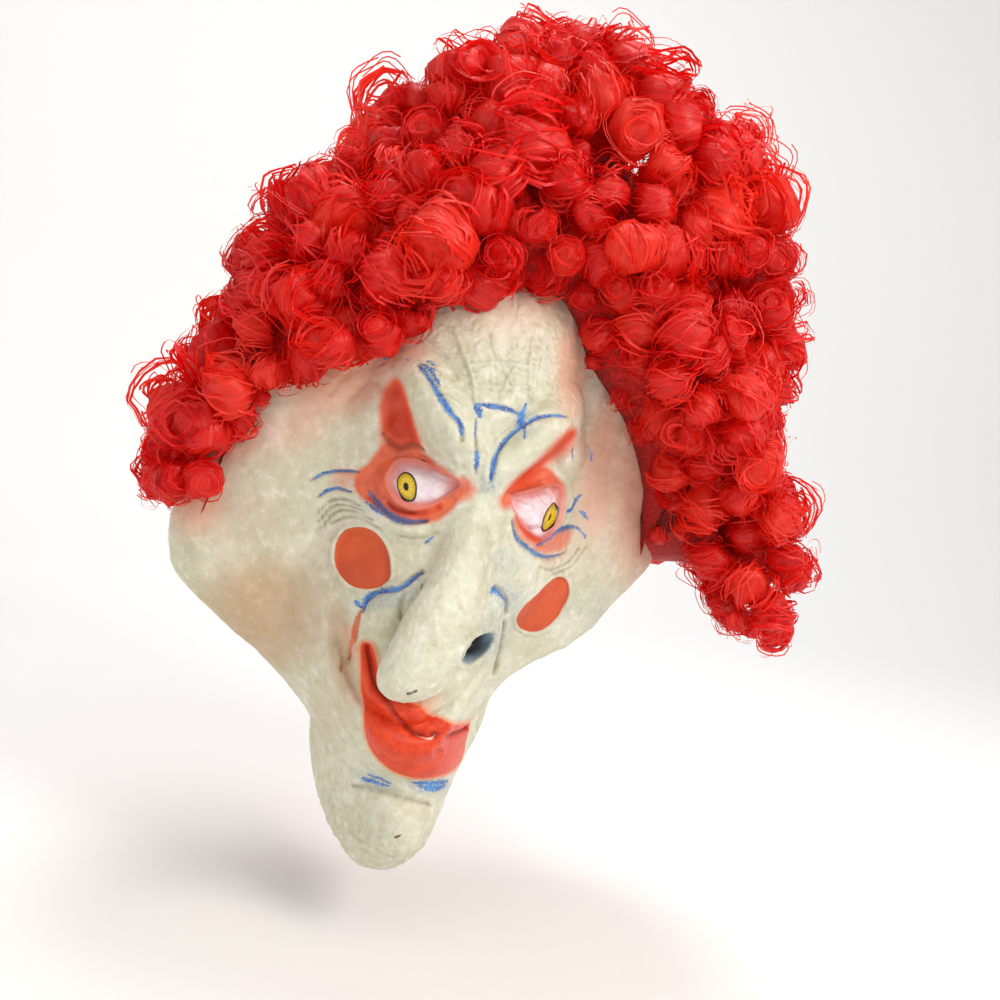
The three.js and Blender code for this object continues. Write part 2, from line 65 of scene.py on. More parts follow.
back = Vector((
    math.sin(CAMERA_TURN) * math.cos(CAMERA_RISE),
    -math.cos(CAMERA_TURN) * math.cos(CAMERA_RISE),
    math.sin(CAMERA_RISE),
))
turned = (-back).to_track_quat("-Z", "Y").to_matrix().to_4x4() @ Matrix.Rotation(CAMERA_ROLL, 4, "Z")
camera_right, camera_up = np.array(turned.to_3x3())[:, 0], np.array(turned.to_3x3())[:, 1]
camera_data = bpy.data.cameras.new("camera")
camera_data.lens = 45
camera_data.sensor_width = 36
camera = bpy.data.objects.new("camera", camera_data)
bpy.context.scene.collection.objects.link(camera)
camera.matrix_world = Matrix.Translation(
    BRIDGE + back * CAMERA_DISTANCE + Vector(camera_right * CAMERA_SHIFT[0] + camera_up * CAMERA_SHIFT[1])
) @ turned
bpy.context.scene.camera = camera
FOCAL_PIXELS = camera_data.lens / camera_data.sensor_width * PHOTO_SIDE
to_camera = np.array(camera.matrix_world.inverted())
eye_point = np.array(camera.matrix_world.translation) / MM


def photo_place(points):
    """Column and row of the photograph at which points, in millimetres, are seen."""
    seen = points * MM @ to_camera[:3, :3].T + to_camera[:3, 3]
    scale = FOCAL_PIXELS / -seen[:, 2]
    return PHOTO_SIDE / 2 + seen[:, 0] * scale, PHOTO_SIDE / 2 - seen[:, 1] * scale


print("camera at", [round(value, 3) for value in camera.matrix_world.translation])

# %% [markdown]
# ## Curves through a few named rows
# A sculpted form is easiest to steer by a short table: a few levels, and how wide and how deep the
# head is at each. A smooth curve through the rows gives every level in between.

# %% Tables and curves


def table(names, rows):
    return {name: np.array([row[k] for row in rows], float) for k, name in enumerate(names)}


def along(column, place):
    """Value of a column at a place counted in rows, on a smooth curve through its rows."""
    last = len(column) - 1
    t = np.clip(place, 0, last - 1e-9)
    i = np.floor(t).astype(int)
    f = t - i
    a, b, c, d = column[np.maximum(i - 1, 0)], column[i], column[i + 1], column[np.minimum(i + 2, last)]
    return b + 0.5 * f * (c - a + f * (2 * a - 5 * b + 4 * c - d + f * (3 * (b - c) + d - a)))


def place_of(column, value):
    index = np.arange(len(column))
    if column[-1] < column[0]:
        return np.interp(value, column[::-1], index[::-1])
    return np.interp(value, column, index)


def smooth(low, high, value):
    u = np.clip((value - low) / (high - low), 0, 1)
    return u * u * (3 - 2 * u)


def bell(u, v=0):
    return np.exp(-(u * u + v * v))


def cap(u, v, power):
    return np.maximum(0, 1 - u * u - v * v) ** power


# %% [markdown]
# ## The head
# The hood is a stack of tilted loops from the crown to the rim, and the face is a block that stands
# out of its front. The numbers are those of the CAD model, in millimetres, with heights measured
# from the bridge of the nose.

# %% The hood and the face
CROWN_RISE, CHIN_DROP, NAPE_DROP = 160, 267, 160
HOOD_HALF_WIDTH, HOOD_FRONT, HOOD_BACK = 157, 62, 76
CHIN_LEAN = 14
WALL = 2
FACE_RISE, FACE_HALF_WIDTH, RELIEF = 57, 86, 15

HOOD = table(["front", "back", "width", "front_depth", "back_depth", "lean"], [
    [1.0, 1.0, 0, 0, 0, 0],
    [0.988, 0.988, 0.255, 0.39, 0.34, 0],
    [0.93, 0.94, 0.485, 0.71, 0.63, 0],
    [0.825, 0.84, 0.675, 0.9, 0.815, 0],
    [0.66, 0.69, 0.82, 0.985, 0.92, 0],
    [0.45, 0.5, 0.91, 1.0, 0.985, 0],
    [0.2, 0.26, 0.97, 0.985, 1.0, 0.07],
    [-0.045, 0.01, 1.01, 0.935, 1.0, 0.0],
    [-0.175, -0.21, 1.04, 0.885, 0.985, -0.1],
    [-0.3, -0.4, 1.005, 0.84, 0.95, 0.75],
    [-0.425, -0.56, 0.915, 0.825, 0.895, 1.25],
    [-0.545, -0.7, 0.66, 0.81, 0.83, 1.4],
    [-0.66, -0.8, 0.5, 0.775, 0.765, 0.8],
    [-0.765, -0.875, 0.42, 0.74, 0.725, 0.1],
    [-0.865, -0.93, 0.36, 0.695, 0.685, 0.0],
    [-0.945, -0.97, 0.325, 0.6, 0.67, 0.25],
    [-0.99, -0.99, 0.305, 0.47, 0.66, 0.4],
    [-1.0, -1.0, 0.285, 0.39, 0.645, 0.4],
])
LAST_PLACE = len(HOOD["front"]) - 1

FACE = table(["level", "rise", "width"], [
    [0.92, 0, 0.58],
    [0.825, 0.1, 0.68],
    [0.66, 0.33, 0.79],
    [0.45, 0.56, 0.86],
    [0.2, 0.75, 0.92],
    [-0.045, 0.81, 0.98],
    [-0.19, 0.84, 1.0],
    [-0.325, 0.895, 0.955],
    [-0.445, 0.965, 0.86],
    [-0.555, 1.0, 0.77],
    [-0.66, 0.93, 0.66],
    [-0.735, 0.755, 0.59],
    [-0.8, 0.84, 0.535],
    [-0.885, 0.86, 0.475],
    [-0.96, 0.685, 0.42],
    [-1.01, 0.455, 0.37],
])

# Soft mounds and hollows of both sides: out, level, across, along, rise.
MOUNDS = {
    "forehead knob": (0.3, 0.5, 0.28, 0.12, 0.33),
    "eye socket": (0.44, 0.01, 0.28, 0.07, -1),
    "under the brow's end": (0.56, 0.15, 0.14, 0.045, -0.33),
    "inner corner of the eye": (0.16, -0.023, 0.09, 0.04, -0.33),
    "bag under the eye": (0.49, -0.12, 0.28, 0.03, 0.27),
    "cheek": (0.6, -0.23, 0.35, 0.115, 0.6),
    "muzzle": (0.28, -0.43, 0.28, 0.075, 0.47),
    "crease over the chin": (0, -0.74, 0.47, 0.027, -0.33),
    "ball of the chin": (0, -0.865, 0.3, 0.085, 0.47),
}


def share_of(height, drop):
    return np.where(height > 0, height / CROWN_RISE, height / drop)


def height_of(share, drop):
    return np.where(share > 0, share * CROWN_RISE, share * drop)


def to_line(x, h, start, end):
    """Distance to a straight line on the face, and how far along the line it is."""
    dx, dh = end[0] - start[0], end[1] - start[1]
    t = np.clip(((x - start[0]) * dx + (h - start[1]) * dh) / (dx * dx + dh * dh), 0, 1)
    return np.hypot(x - start[0] - t * dx, h - start[1] - t * dh), t


def brow_rise(x, h):
    inner, t = to_line(x, h, (9, 12), (50, 52))
    outer, s = to_line(x, h, (50, 52), (68, 26))
    ridge = (0.92 + 0.23 * t) * cap(inner / (19 * (0.93 + 0.2 * t)), 0, 1.1)
    end = (1 - 0.4 * s) * cap(outer / (0.78 * 19), 0, 1.2)
    return 13 * np.maximum(ridge, end)


def mouth_rise(x, h):
    line = -150 + 44 * np.minimum(1, x / 48) ** 2
    inside = smooth(54, 44, x)
    lips = 7 * bell((h - line) / 7.7 - 1.15) + 9 * bell((h - line) / 10.8 + 1.2)
    return inside * (lips - 5 * bell((h - line) / 7))


def face_rise(x, h):
    """How far the face stands out of the hood, x across and h above the bridge."""
    out = np.abs(x)
    place = place_of(FACE["level"], share_of(h, CHIN_DROP))
    width = along(FACE["width"], place) * FACE_HALF_WIDTH
    rise = FACE_RISE * along(FACE["rise"], place) * (1 - np.minimum(out / width, 1) ** 2.3) ** 1.5
    for out_share, level, across, reach, height in MOUNDS.values():
        u = (out - out_share * FACE_HALF_WIDTH) / (across * FACE_HALF_WIDTH)
        v = (h - height_of(level, CHIN_DROP)) / (reach * CHIN_DROP)
        rise = rise + height * RELIEF * bell(u, v)
    rise = rise + brow_rise(out, h) + mouth_rise(out, h)
    rise = rise + 11 * cap((out - 37) / 21, (h + 8) / 14.5, 0.75)
    return rise + 13 * cap((out - 27) / 13, (h + 80) / 19.5, 0.6)


def mask_point(turn, place):
    """Points of the mask's outside: turn goes round the hood, place goes down the rows of HOOD."""
    turn, place = np.broadcast_arrays(turn, place)
    forward = -np.sin(turn)
    frontness = ((1 + forward) / 2) ** 1.6
    front = height_of(along(HOOD["front"], place), CHIN_DROP)
    behind = height_of(along(HOOD["back"], place), NAPE_DROP)
    h = behind + (front - behind) * frontness
    x = np.maximum(along(HOOD["width"], place), 0) * HOOD_HALF_WIDTH * np.cos(turn)
    depth = np.where(
        forward > 0,
        np.maximum(along(HOOD["front_depth"], place), 0) * HOOD_FRONT,
        np.maximum(along(HOOD["back_depth"], place), 0) * HOOD_BACK,
    )
    face = smooth(0.02, 0.3, forward) * face_rise(x, h)
    lean = CHIN_LEAN * along(HOOD["lean"], place)
    return np.stack([x - lean, -forward * depth - face, h - CROWN_RISE + WALL], axis=-1)


print("bridge of the nose at", mask_point(np.array(-math.pi / 2), np.array(6.8)).round(1))

# %% [markdown]
# ## A grid that is dense where the sculpture is
# Wrinkles and lids need points about a millimetre apart, the back of the hood needs one each five
# or six millimetres. The rows and the columns are spaced by walking over the surface, so one grid
# serves both, and every third line of it is kept for the plain inside of the wall.

# %% The grid of the outside
FINE_STEP, CROWN_STEP = 1.1, 3.4


def walked(lengths, steps):
    """How many steps fit, rounded to a multiple of three, and where each falls, as shares."""
    count = np.concatenate([[0], np.cumsum(lengths / steps)])
    total = 3 * math.ceil(count[-1] / 3)
    return total, np.interp(np.linspace(0, count[-1], total + 1), count, np.arange(len(count)))


trial = np.linspace(0, LAST_PLACE, 3000)
front_line = mask_point(-math.pi / 2, trial)
front_length = np.linalg.norm(np.diff(front_line, axis=0), axis=1)
front_height = front_line[1:, 2] + CROWN_RISE - WALL
ROWS, row_spots = walked(front_length, np.interp(front_height, [80, 120], [FINE_STEP, CROWN_STEP]))
row_place = row_spots / (len(trial) - 1) * LAST_PLACE

angles = np.linspace(0, math.pi, 2000)
round_length = np.hypot(HOOD_HALF_WIDTH * np.cos(angles), 80 * np.sin(angles))[1:] * angles[1]
round_step = np.interp(np.degrees(angles[1:]), [0, 26, 45, 75, 110, 180], [1.1, 1.1, 1.9, 3.6, 6, 7])
HALF, half_spots = walked(round_length, round_step)
half_turn = half_spots * angles[1]
COLUMNS = 2 * HALF
column_turn = -math.pi / 2 + np.concatenate([-half_turn[:0:-1], half_turn[:-1]])

grid = mask_point(column_turn[None, :], row_place[1:, None])
points = np.concatenate([mask_point(np.array([0.0]), np.array([0.0])), grid.reshape(-1, 3)])


def spot(row, column):
    """Number of the point in one row, counted from 1, and one column."""
    return 1 + (np.asarray(row) - 1) * COLUMNS + np.asarray(column) % COLUMNS


def thirds(value):
    return 3 * round(value / 3)


middle_height = points[spot(np.arange(1, ROWS + 1), HALF), 2] + CROWN_RISE - WALL
NOSE_TOP = thirds(1 + int(np.argmin(np.abs(middle_height - 0))))
NOSE_FOOT = thirds(1 + int(np.argmin(np.abs(middle_height + 90))))
FACE_TOP = thirds(1 + int(np.argmin(np.abs(middle_height - 98))))
FACE_SIDE = thirds(int(np.argmin(np.abs(half_turn - math.radians(42)))))
nose_level = (NOSE_TOP + NOSE_FOOT) // 2
NOSE_SIDE = thirds(int(np.argmin(np.abs(points[spot(nose_level, HALF + np.arange(60)), 0] - 20.9))))
print("rows", ROWS, "columns", COLUMNS, "nose rows", NOSE_TOP, NOSE_FOOT, "side", NOSE_SIDE, "face", FACE_TOP, FACE_SIDE)

# %% [markdown]
# ## The nose
# The long nose hooks down and to one side, so it can't be pushed out of the face by a height alone.
# A hole is left in the grid, and rings of points carry its edge forward along a bent ridge to the
# hanging bulb, which a few shrinking rings and one tip close.

# %% Rings of the nose
NOSE_REACH, NOSE_HANG, NOSE_HALF_WIDTH, NOSE_HOOK, BULB_LENGTH = 48, 100, 22, 19, 22
NOSE_RINGS, BULB_RINGS = 57, 12
NOSE = table(
    ["ridge_hook", "ridge_reach", "ridge_hang", "under_hook", "under_reach", "under_hang", "width"],
    [
        [-0.12, 0, 0, 0, 0, 0, 0.86],
        [-0.1, 0.25, 0.27, 0.06, 0.06, 0.06, 0.86],
        [0.3, 0.62, 0.56, 0.4, 0.14, 0.12, 1.08],
        [0.7, 0.92, 0.82, 0.7, 0.2, 0.17, 1.08],
        [1.0, 1.0, 1.0, 0.95, 0.25, 0.23, 1.04],
    ],
)
left, right = HALF - NOSE_SIDE, HALF + NOSE_SIDE
nose_loop = np.concatenate([
    spot(NOSE_TOP, np.arange(left, right)),
    spot(np.arange(NOSE_TOP, NOSE_FOOT), right),
    spot(NOSE_FOOT, np.arange(right, left, -1)),
    spot(np.arange(NOSE_FOOT, NOSE_TOP, -1), left),
])
nose_top_point, nose_foot_point = points[spot(NOSE_TOP, HALF)], points[spot(NOSE_FOOT, HALF)]
root_x = (nose_top_point[0] + nose_foot_point[0]) / 2
loop_start = points[nose_loop]
loop_angle = np.arctan2(
    (loop_start[:, 2] - (nose_top_point[2] + nose_foot_point[2]) / 2) / ((nose_top_point[2] - nose_foot_point[2]) / 2),
    (loop_start[:, 0] - root_x) / NOSE_HALF_WIDTH,
)


def nose_ring(share):
    at = {name: float(along(NOSE[name], np.array(share * (len(NOSE["width"]) - 1)))) for name in NOSE}
    ridge = np.array([
        root_x - at["ridge_hook"] * NOSE_HOOK,
        nose_top_point[1] - at["ridge_reach"] * NOSE_REACH,
        nose_top_point[2] - at["ridge_hang"] * NOSE_HANG,
    ])
    under = np.array([
        root_x - at["under_hook"] * NOSE_HOOK,
        nose_foot_point[1] - at["under_reach"] * NOSE_REACH,
        nose_foot_point[2] - at["under_hang"] * NOSE_HANG,
    ])
    ring_middle = (ridge + under) / 2
    up = (ridge - under) / 2
    keen = 0.22 * float(smooth(0.75, 0.1, share))
    across = at["width"] * NOSE_HALF_WIDTH * np.cos(loop_angle) * (1 - keen * np.maximum(0, np.sin(loop_angle)))
    return ring_middle + across[:, None] * np.array([1, 0, 0]) + np.sin(loop_angle)[:, None] * up


flat_ring = nose_ring(0)
rings = [
    nose_ring(k / NOSE_RINGS) + (loop_start - flat_ring) * (1 - smooth(0, 0.22, k / NOSE_RINGS))
    for k in range(1, NOSE_RINGS + 1)
]
bulb_edge = nose_ring(1)
bulb_middle = bulb_edge.mean(axis=0)
bulb_axis = np.array([-0.34, -0.2, -0.92]) / np.linalg.norm([-0.34, -0.2, -0.92]) * BULB_LENGTH
for k in range(1, BULB_RINGS):
    quarter = math.pi / 2 * k / BULB_RINGS
    rings.append(bulb_middle + bulb_axis * math.sin(quarter) + (bulb_edge - bulb_middle) * math.cos(quarter))
nose_first = len(points)
points = np.concatenate([points, *rings, [bulb_middle + bulb_axis]])
ring_numbers = [nose_loop] + [nose_first + k * len(nose_loop) + np.arange(len(nose_loop)) for k in range(len(rings))]
tip = len(points) - 1


def quads_to_triangles(a, b, c, d):
    """Four corners that run counter-clockwise, as two triangles each, cut along the shorter way."""
    short = np.linalg.norm(points[a] - points[c], axis=-1) < np.linalg.norm(points[b] - points[d], axis=-1)
    first = np.where(short[..., None], np.stack([a, b, c], -1), np.stack([a, b, d], -1))
    second = np.where(short[..., None], np.stack([a, c, d], -1), np.stack([b, c, d], -1))
    return np.concatenate([first.reshape(-1, 3), second.reshape(-1, 3)])


row, column = np.meshgrid(np.arange(1, ROWS), np.arange(COLUMNS), indexing="ij")
row, column = row.ravel(), column.ravel()
on_nose = (row >= NOSE_TOP) & (row < NOSE_FOOT) & (column >= left) & (column < right)
on_face = (row >= FACE_TOP) & (np.abs(column + 0.5 - HALF) < FACE_SIDE)


def cells(chosen):
    r, c = row[chosen], column[chosen]
    return quads_to_triangles(spot(r, c), spot(r + 1, c), spot(r + 1, c + 1), spot(r, c + 1))


face_sheet = [cells(on_face & ~on_nose)]
for before, after in zip(ring_numbers[:-1], ring_numbers[1:]):
    face_sheet.append(quads_to_triangles(before, after, np.roll(after, -1), np.roll(before, -1)))
last_ring = ring_numbers[-1]
face_sheet.append(np.stack([last_ring, np.full_like(last_ring, tip), np.roll(last_ring, -1)], -1))
face_sheet = np.concatenate(face_sheet)
first_row = spot(1, np.arange(COLUMNS))
hood_sheet = np.concatenate([
    cells(~on_face),
    np.stack([np.zeros_like(first_row), first_row, np.roll(first_row, -1)], -1),
])
sheet = np.concatenate([face_sheet, hood_sheet])
print("points", len(points), "face triangles", len(face_sheet), "hood triangles", len(hood_sheet))

# %% [markdown]
# ## Softening the root of the nose
# Clay is smoothed with a thumb where one form meets another. Here each point near the root moves
# step by step towards the middle of its neighbours, and points further off stay where they are.

# %% Smooth the root
edges = np.concatenate([sheet[:, [0, 1]], sheet[:, [1, 2]], sheet[:, [2, 0]]])
neighbours = np.maximum(np.bincount(edges.ravel(), minlength=len(points)), 1)


def relaxed(values):
    """Each point's value averaged over its neighbours."""
    total = np.bincount(edges[:, 0], values[edges[:, 1]], len(points))
    total += np.bincount(edges[:, 1], values[edges[:, 0]], len(points))
    return total / neighbours


loop_points = points[nose_loop[::3]]
near = np.full(len(points), 99.0)
close = np.abs(points[:, 0]) < 60
near[close] = np.sqrt(((points[close][:, None] - loop_points[None]) ** 2).sum(-1).min(1))
softness = smooth(17, 4, near)[:, None] * 0.9
for _ in range(110):
    points = points + softness * (np.stack([relaxed(points[:, k]) for k in range(3)], -1) - points)


def normals_of(shape):
    a, b, c = shape[sheet[:, 0]], shape[sheet[:, 1]], shape[sheet[:, 2]]
    cross = np.cross(b - a, c - a)
    total = np.stack([
        sum(np.bincount(sheet[:, corner], cross[:, k], len(shape)) for corner in range(3)) for k in range(3)
    ], -1)
    return total / np.maximum(np.linalg.norm(total, axis=1, keepdims=True), 1e-12)


ROOT_RINGS = 9  # the first rings of the nose still count as face
outward = normals_of(points)
is_nose = np.zeros(len(points), bool)
is_nose[nose_first + ROOT_RINGS * len(nose_loop):] = True
height = points[:, 2] + CROWN_RISE - WALL
across_face = points[:, 0] + CHIN_LEAN * np.interp(
    height, [-267, -204, -176, -145, -113, -80, -47, 0], [0.4, 0.1, 0.8, 1.4, 1.25, 0.75, -0.1, 0])
seen_column, seen_row = photo_place(points)
toward = eye_point - points
facing = (outward * toward).sum(1) / np.linalg.norm(toward, axis=1)
print("root smoothed; width of the mask", np.ptp(points[:, 0]).round(1))

# %% [markdown]
# ## Marks that are placed through the photograph
# Folds, painted strokes and patches are noted where the photograph shows them, as columns and rows.
# A ray from the camera through such a place meets the sculpted sheet, and from then on the mark is
# a line in space on the surface, so it has its true width from every side.

# %% Carry marks onto the surface
plain_face = np.concatenate([cells(on_face & ~on_nose), cells(on_nose)])
face_tree = BVHTree.FromPolygons([Vector(p) for p in points], plain_face.tolist())
nose_tree = BVHTree.FromPolygons([Vector(p) for p in points], face_sheet[-2 * len(nose_loop) * len(rings):].tolist())


PIXEL = 0.58
# The camera's side of the mask, and a little beyond its edges, where the relief may turn it back.
visible = (facing > -0.35) & (points[:, 1] < 0)


def on_surface(places, nose=False):
    """Points in millimetres where the camera sees these places of the photograph."""
    found = []
    for px, py in places:
        ray = Vector(((px - 500) / FOCAL_PIXELS, (500 - py) / FOCAL_PIXELS, -1))
        direction = (turned.to_3x3() @ ray).normalized()
        hit = (nose_tree if nose else face_tree).ray_cast(Vector(eye_point), direction)[0]
        if hit is not None:
            found.append(np.array(hit))
    return np.array(found)


def curve_through(line, steps=5):
    """A smooth line through a few points."""
    if len(line) < 3:
        return line
    place = np.linspace(0, len(line) - 1, steps * (len(line) - 1) + 1)
    return np.stack([along(line[:, k], place) for k in range(line.shape[1])], -1)


def stroke(places, radius, nose=False, taper=0.6):
    """Distance to a drawn line in units of its own half width, which narrows towards its ends."""
    far = np.full(len(points), 9.0)
    line = on_surface(places, nose)
    if len(line) < 2:
        print("missed a mark at", places[0])
        return far
    line = curve_through(line)
    part = is_nose if nose else ~is_nose
    low, high = line.min(0) - 6 * radius, line.max(0) + 6 * radius
    chosen = np.where(part & ((points > low) & (points < high)).all(1))[0]
    total = len(line) - 1
    for k in range(total):
        start, run = line[k], line[k + 1] - line[k]
        t = np.clip(((points[chosen] - start) @ run) / max(run @ run, 1e-9), 0, 1)
        distance = np.linalg.norm(points[chosen] - start - t[:, None] * run, axis=1)
        share = (k + t) / total
        width = radius * (1 - taper + taper * np.clip(4 * np.minimum(share, 1 - share), 0, 1))
        far[chosen] = np.minimum(far[chosen], distance / width)
    return far


def inside(polygon, rounded=True):
    """Signed distance, in millimetres and positive inside, to an outline of the photograph."""
    outline = np.array(polygon, float)
    if rounded:
        for _ in range(2):
            following = np.roll(outline, -1, axis=0)
            outline = np.stack([0.75 * outline + 0.25 * following, 0.25 * outline + 0.75 * following], 1)
            outline = outline.reshape(-1, 2)
    result = np.full(len(points), -9.0)
    low, high = outline.min(0) - 20, outline.max(0) + 20
    chosen = np.where(
        visible & ~is_nose & (seen_column > low[0]) & (seen_column < high[0]) & (seen_row > low[1]) & (seen_row < high[1])
    )[0]
    px, py = seen_column[chosen], seen_row[chosen]
    distance = np.full(len(chosen), 1e9)
    crossings = np.zeros(len(chosen), int)
    for (x0, y0), (x1, y1) in zip(outline, np.roll(outline, -1, axis=0)):
        dx, dy = x1 - x0, y1 - y0
        t = np.clip(((px - x0) * dx + (py - y0) * dy) / max(dx * dx + dy * dy, 1e-9), 0, 1)
        distance = np.minimum(distance, np.hypot(px - x0 - t * dx, py - y0 - t * dy))
        if y0 != y1:
            crossings += ((y0 > py) != (y1 > py)) & (px < x0 + (py - y0) * dx / dy)
    result[chosen] = np.where(crossings % 2 == 1, distance, -distance) * PIXEL
    return result


def ellipse(centre, half_length, half_width, tilt):
    """Two coordinates that run from -1 to 1 across a tilted ellipse of the photograph."""
    dx, dy = seen_column - centre[0], centre[1] - seen_row
    c, s = math.cos(math.radians(tilt)), math.sin(math.radians(tilt))
    return (dx * c + dy * s) / half_length, (-dx * s + dy * c) / half_width


print("one pixel of the photograph is about", PIXEL, "mm at the face")

# %% [markdown]
# ## Relief
# The fine sculpture is added as a height along the surface normal: cut folds, raised veins, rows of
# wrinkles on the brow, lids round the eyes, rims round the cheek discs and full lips.

# %% Places of the fine sculpture
LEFT_EYE = [
    (388, 482), (393, 470), (400, 462), (414, 461), (431, 467), (447, 475), (464, 483), (451, 492),
    (437, 502), (422, 506), (408, 504), (396, 496),
]
RIGHT_EYE = [
    (510, 497), (524, 494), (541, 490), (551, 485), (559, 487), (561, 496), (560, 512), (553, 529),
    (544, 539), (536, 537), (526, 528), (517, 517), (512, 507),
]
LIPS = [
    (359, 643), (361, 662), (362, 683), (363, 704), (365, 726), (368, 742), (377, 757), (389, 768),
    (404, 775), (420, 778), (437, 776), (451, 771), (460, 761), (466, 744), (472, 728), (477, 711),
    (470, 721), (458, 724), (443, 721), (429, 714), (418, 705), (405, 700), (391, 694), (383, 686),
    (379, 670), (376, 651), (372, 642),
]
LIP_LINE = [
    (367, 646), (370, 662), (373, 678), (379, 690), (389, 702), (399, 716), (407, 728), (415, 734),
    (434, 734), (450, 733), (466, 727), (474, 718),
]
# Painted highlight: a pale crescent along the parting of the lips where a glint sits.
LIP_GLINT_LINE = [(415, 734), (421, 738), (428, 739), (435, 735)]
RIGHT_BROW_RED = [
    (503, 493), (511, 483), (521, 473), (532, 462), (542, 451), (550, 442), (559, 433), (568, 427),
    (575, 429), (575, 437), (566, 448), (556, 458), (545, 469), (533, 480), (520, 488), (509, 495),
]
BROW_RED = [
    (394, 374), (404, 382), (409, 394), (412, 410), (417, 428), (427, 451), (410, 447), (392, 449),
    (383, 438), (378, 418), (378, 401), (381, 386),
]
EYE_RED = [
    (386, 440), (377, 454), (368, 466), (356, 474), (354, 486), (362, 498), (374, 504), (386, 514),
    (402, 521), (424, 523), (442, 518), (454, 507), (464, 494), (468, 485), (452, 474), (436, 464),
    (424, 452), (408, 446),
]
RIGHT_RED = [(505, 492), (530, 478), (546, 466), (558, 478), (563, 490), (560, 500), (540, 494), (520, 499)]
RIGHT_BAG = [(510, 512), (520, 524), (532, 538), (544, 542), (558, 532), (566, 524), (574, 532), (568, 550), (545, 556), (526, 546), (514, 532)]

VEINS = [
    [(455, 330), (466, 358), (473, 381), (475, 402)],
    [(492, 336), (495, 352), (503, 366), (512, 384)],
    [(533, 338), (530, 366), (530, 399)],
    [(543, 342), (537, 362), (534, 390)],
    [(500, 400), (508, 380), (516, 366)],
    [(468, 366), (492, 363), (512, 364), (528, 368)],
    [(470, 386), (492, 387), (512, 388), (530, 386)],
    [(437, 396), (452, 401), (462, 409)],
    [(458, 452), (461, 466), (457, 474)],
    [(481, 450), (486, 462), (484, 476)],
    [(424, 366), (434, 372), (442, 380)],
]
# Each fold: its places, its half width and its depth in millimetres.
FOLDS = [
    ([(384, 434), (391, 443), (400, 448), (410, 445), (424, 450)], 2.2, 1.7),
    ([(367, 497), (376, 502), (384, 511), (394, 519), (406, 523), (427, 521)], 2.2, 2.4),
    ([(388, 502), (396, 509), (415, 514)], 1.6, 1.2),
    ([(312, 480), (324, 474), (341, 471), (359, 472)], 1.3, 1.4),
    ([(318, 498), (326, 491), (337, 488), (353, 493)], 1.3, 1.4),
    ([(317, 514), (328, 502), (343, 499), (360, 506)], 1.3, 1.3),
    ([(318, 522), (331, 507), (347, 505), (366, 513)], 1.3, 1.3),
    ([(321, 528), (335, 512), (352, 511), (374, 521)], 1.3, 1.3),
    ([(330, 524), (345, 517), (361, 518), (383, 530)], 1.3, 1.1),
    ([(400, 536), (420, 538), (440, 531), (452, 520)], 1.5, 0.8),
    ([(431, 573), (422, 573), (414, 578), (406, 585), (394, 590), (378, 592), (369, 599), (363, 611)], 2.4, 3.2),
    ([(401, 618), (401, 607), (402, 598), (408, 586), (418, 579), (430, 576)], 2.4, 1.4),
    ([(360, 612), (355, 636), (348, 657), (341, 670)], 2.2, 2.0),
    ([(504, 621), (500, 652), (494, 674), (484, 699), (478, 711)], 2.4, 2.4),
    ([(476, 418), (476, 446), (476, 474)], 1.5, 1.5),
    ([(418, 365), (433, 385), (447, 409), (460, 426), (462, 440)], 2.0, 1.9),
    ([(522, 426), (510, 435), (502, 444), (496, 455), (493, 467), (491, 481)], 2.0, 2.0),
    ([(478, 404), (500, 408), (521, 415)], 1.5, 1.2),
    ([(522, 426), (535, 419), (549, 416), (566, 417)], 1.6, 1.5),
    ([(511, 521), (516, 536), (526, 547), (541, 557), (557, 557), (567, 552)], 2.0, 1.9),
    ([(537, 546), (547, 538), (557, 531), (569, 527), (579, 528)], 1.8, 1.8),
    ([(538, 566), (552, 570), (568, 563), (580, 548)], 1.4, 1.2),
    ([(552, 574), (565, 571), (577, 562), (586, 548)], 1.4, 1.2),
    ([(479, 603), (484, 593), (492, 588), (501, 591), (506, 602), (506, 614)], 2.0, 2.2),
    ([(352, 786), (372, 788), (393, 793), (412, 798), (430, 804), (446, 802)], 3.0, 1.3),
    ([(456, 486), (464, 494), (470, 510)], 1.8, 1.2),
    ([(330, 395), (352, 372), (384, 362)], 2.2, 0.9),
    ([(418, 704), (424, 692), (430, 680)], 2.6, 1.4),
    ([(388, 700), (380, 690), (374, 676)], 2.0, 1.0),
]
# Each lobe: its middle, half length, half width and tilt in the photograph, and its height.
LOBES = [
    ((416, 595), 21, 15, 60, 3.6),
    ((381, 619), 25, 18, 72, 3.2),
    ((459, 694), 32, 17, 66, 3.0),
    ((516, 566), 22, 12, 20, 1.2),
    ((398, 528), 30, 7, -8, 1.3),
    ((437, 420), 56, 17, -58, 3.6),
    ((397, 412), 36, 12, -74, -3.4),
    ((540, 441), 42, 15, 38, 3.4),
    ((536, 474), 32, 7, 40, -2.6),
    ((492, 545), 34, 20, 80, 1.6),
]
DISC_LEFT = [
    (334, 552), (337, 538), (346, 528), (359, 526), (372, 529), (382, 538), (389, 552), (391, 566),
    (391, 579), (382, 588), (365, 590), (349, 586), (338, 573), (334, 562),
]
DISC_RIGHT = [
    (515, 621), (517, 612), (526, 603), (539, 591), (548, 581), (555, 576), (565, 577), (570, 585),
    (569, 597), (563, 609), (555, 620), (545, 629), (533, 633), (521, 630),
]
NOSTRIL = ((476.5, 647.5), 22, 9.5, 43)


def rounded_bump(u, v, power=2.6):
    """A flat-topped bump inside an ellipse that runs from -1 to 1."""
    return np.exp(-(np.abs(u) ** power + np.abs(v) ** power))


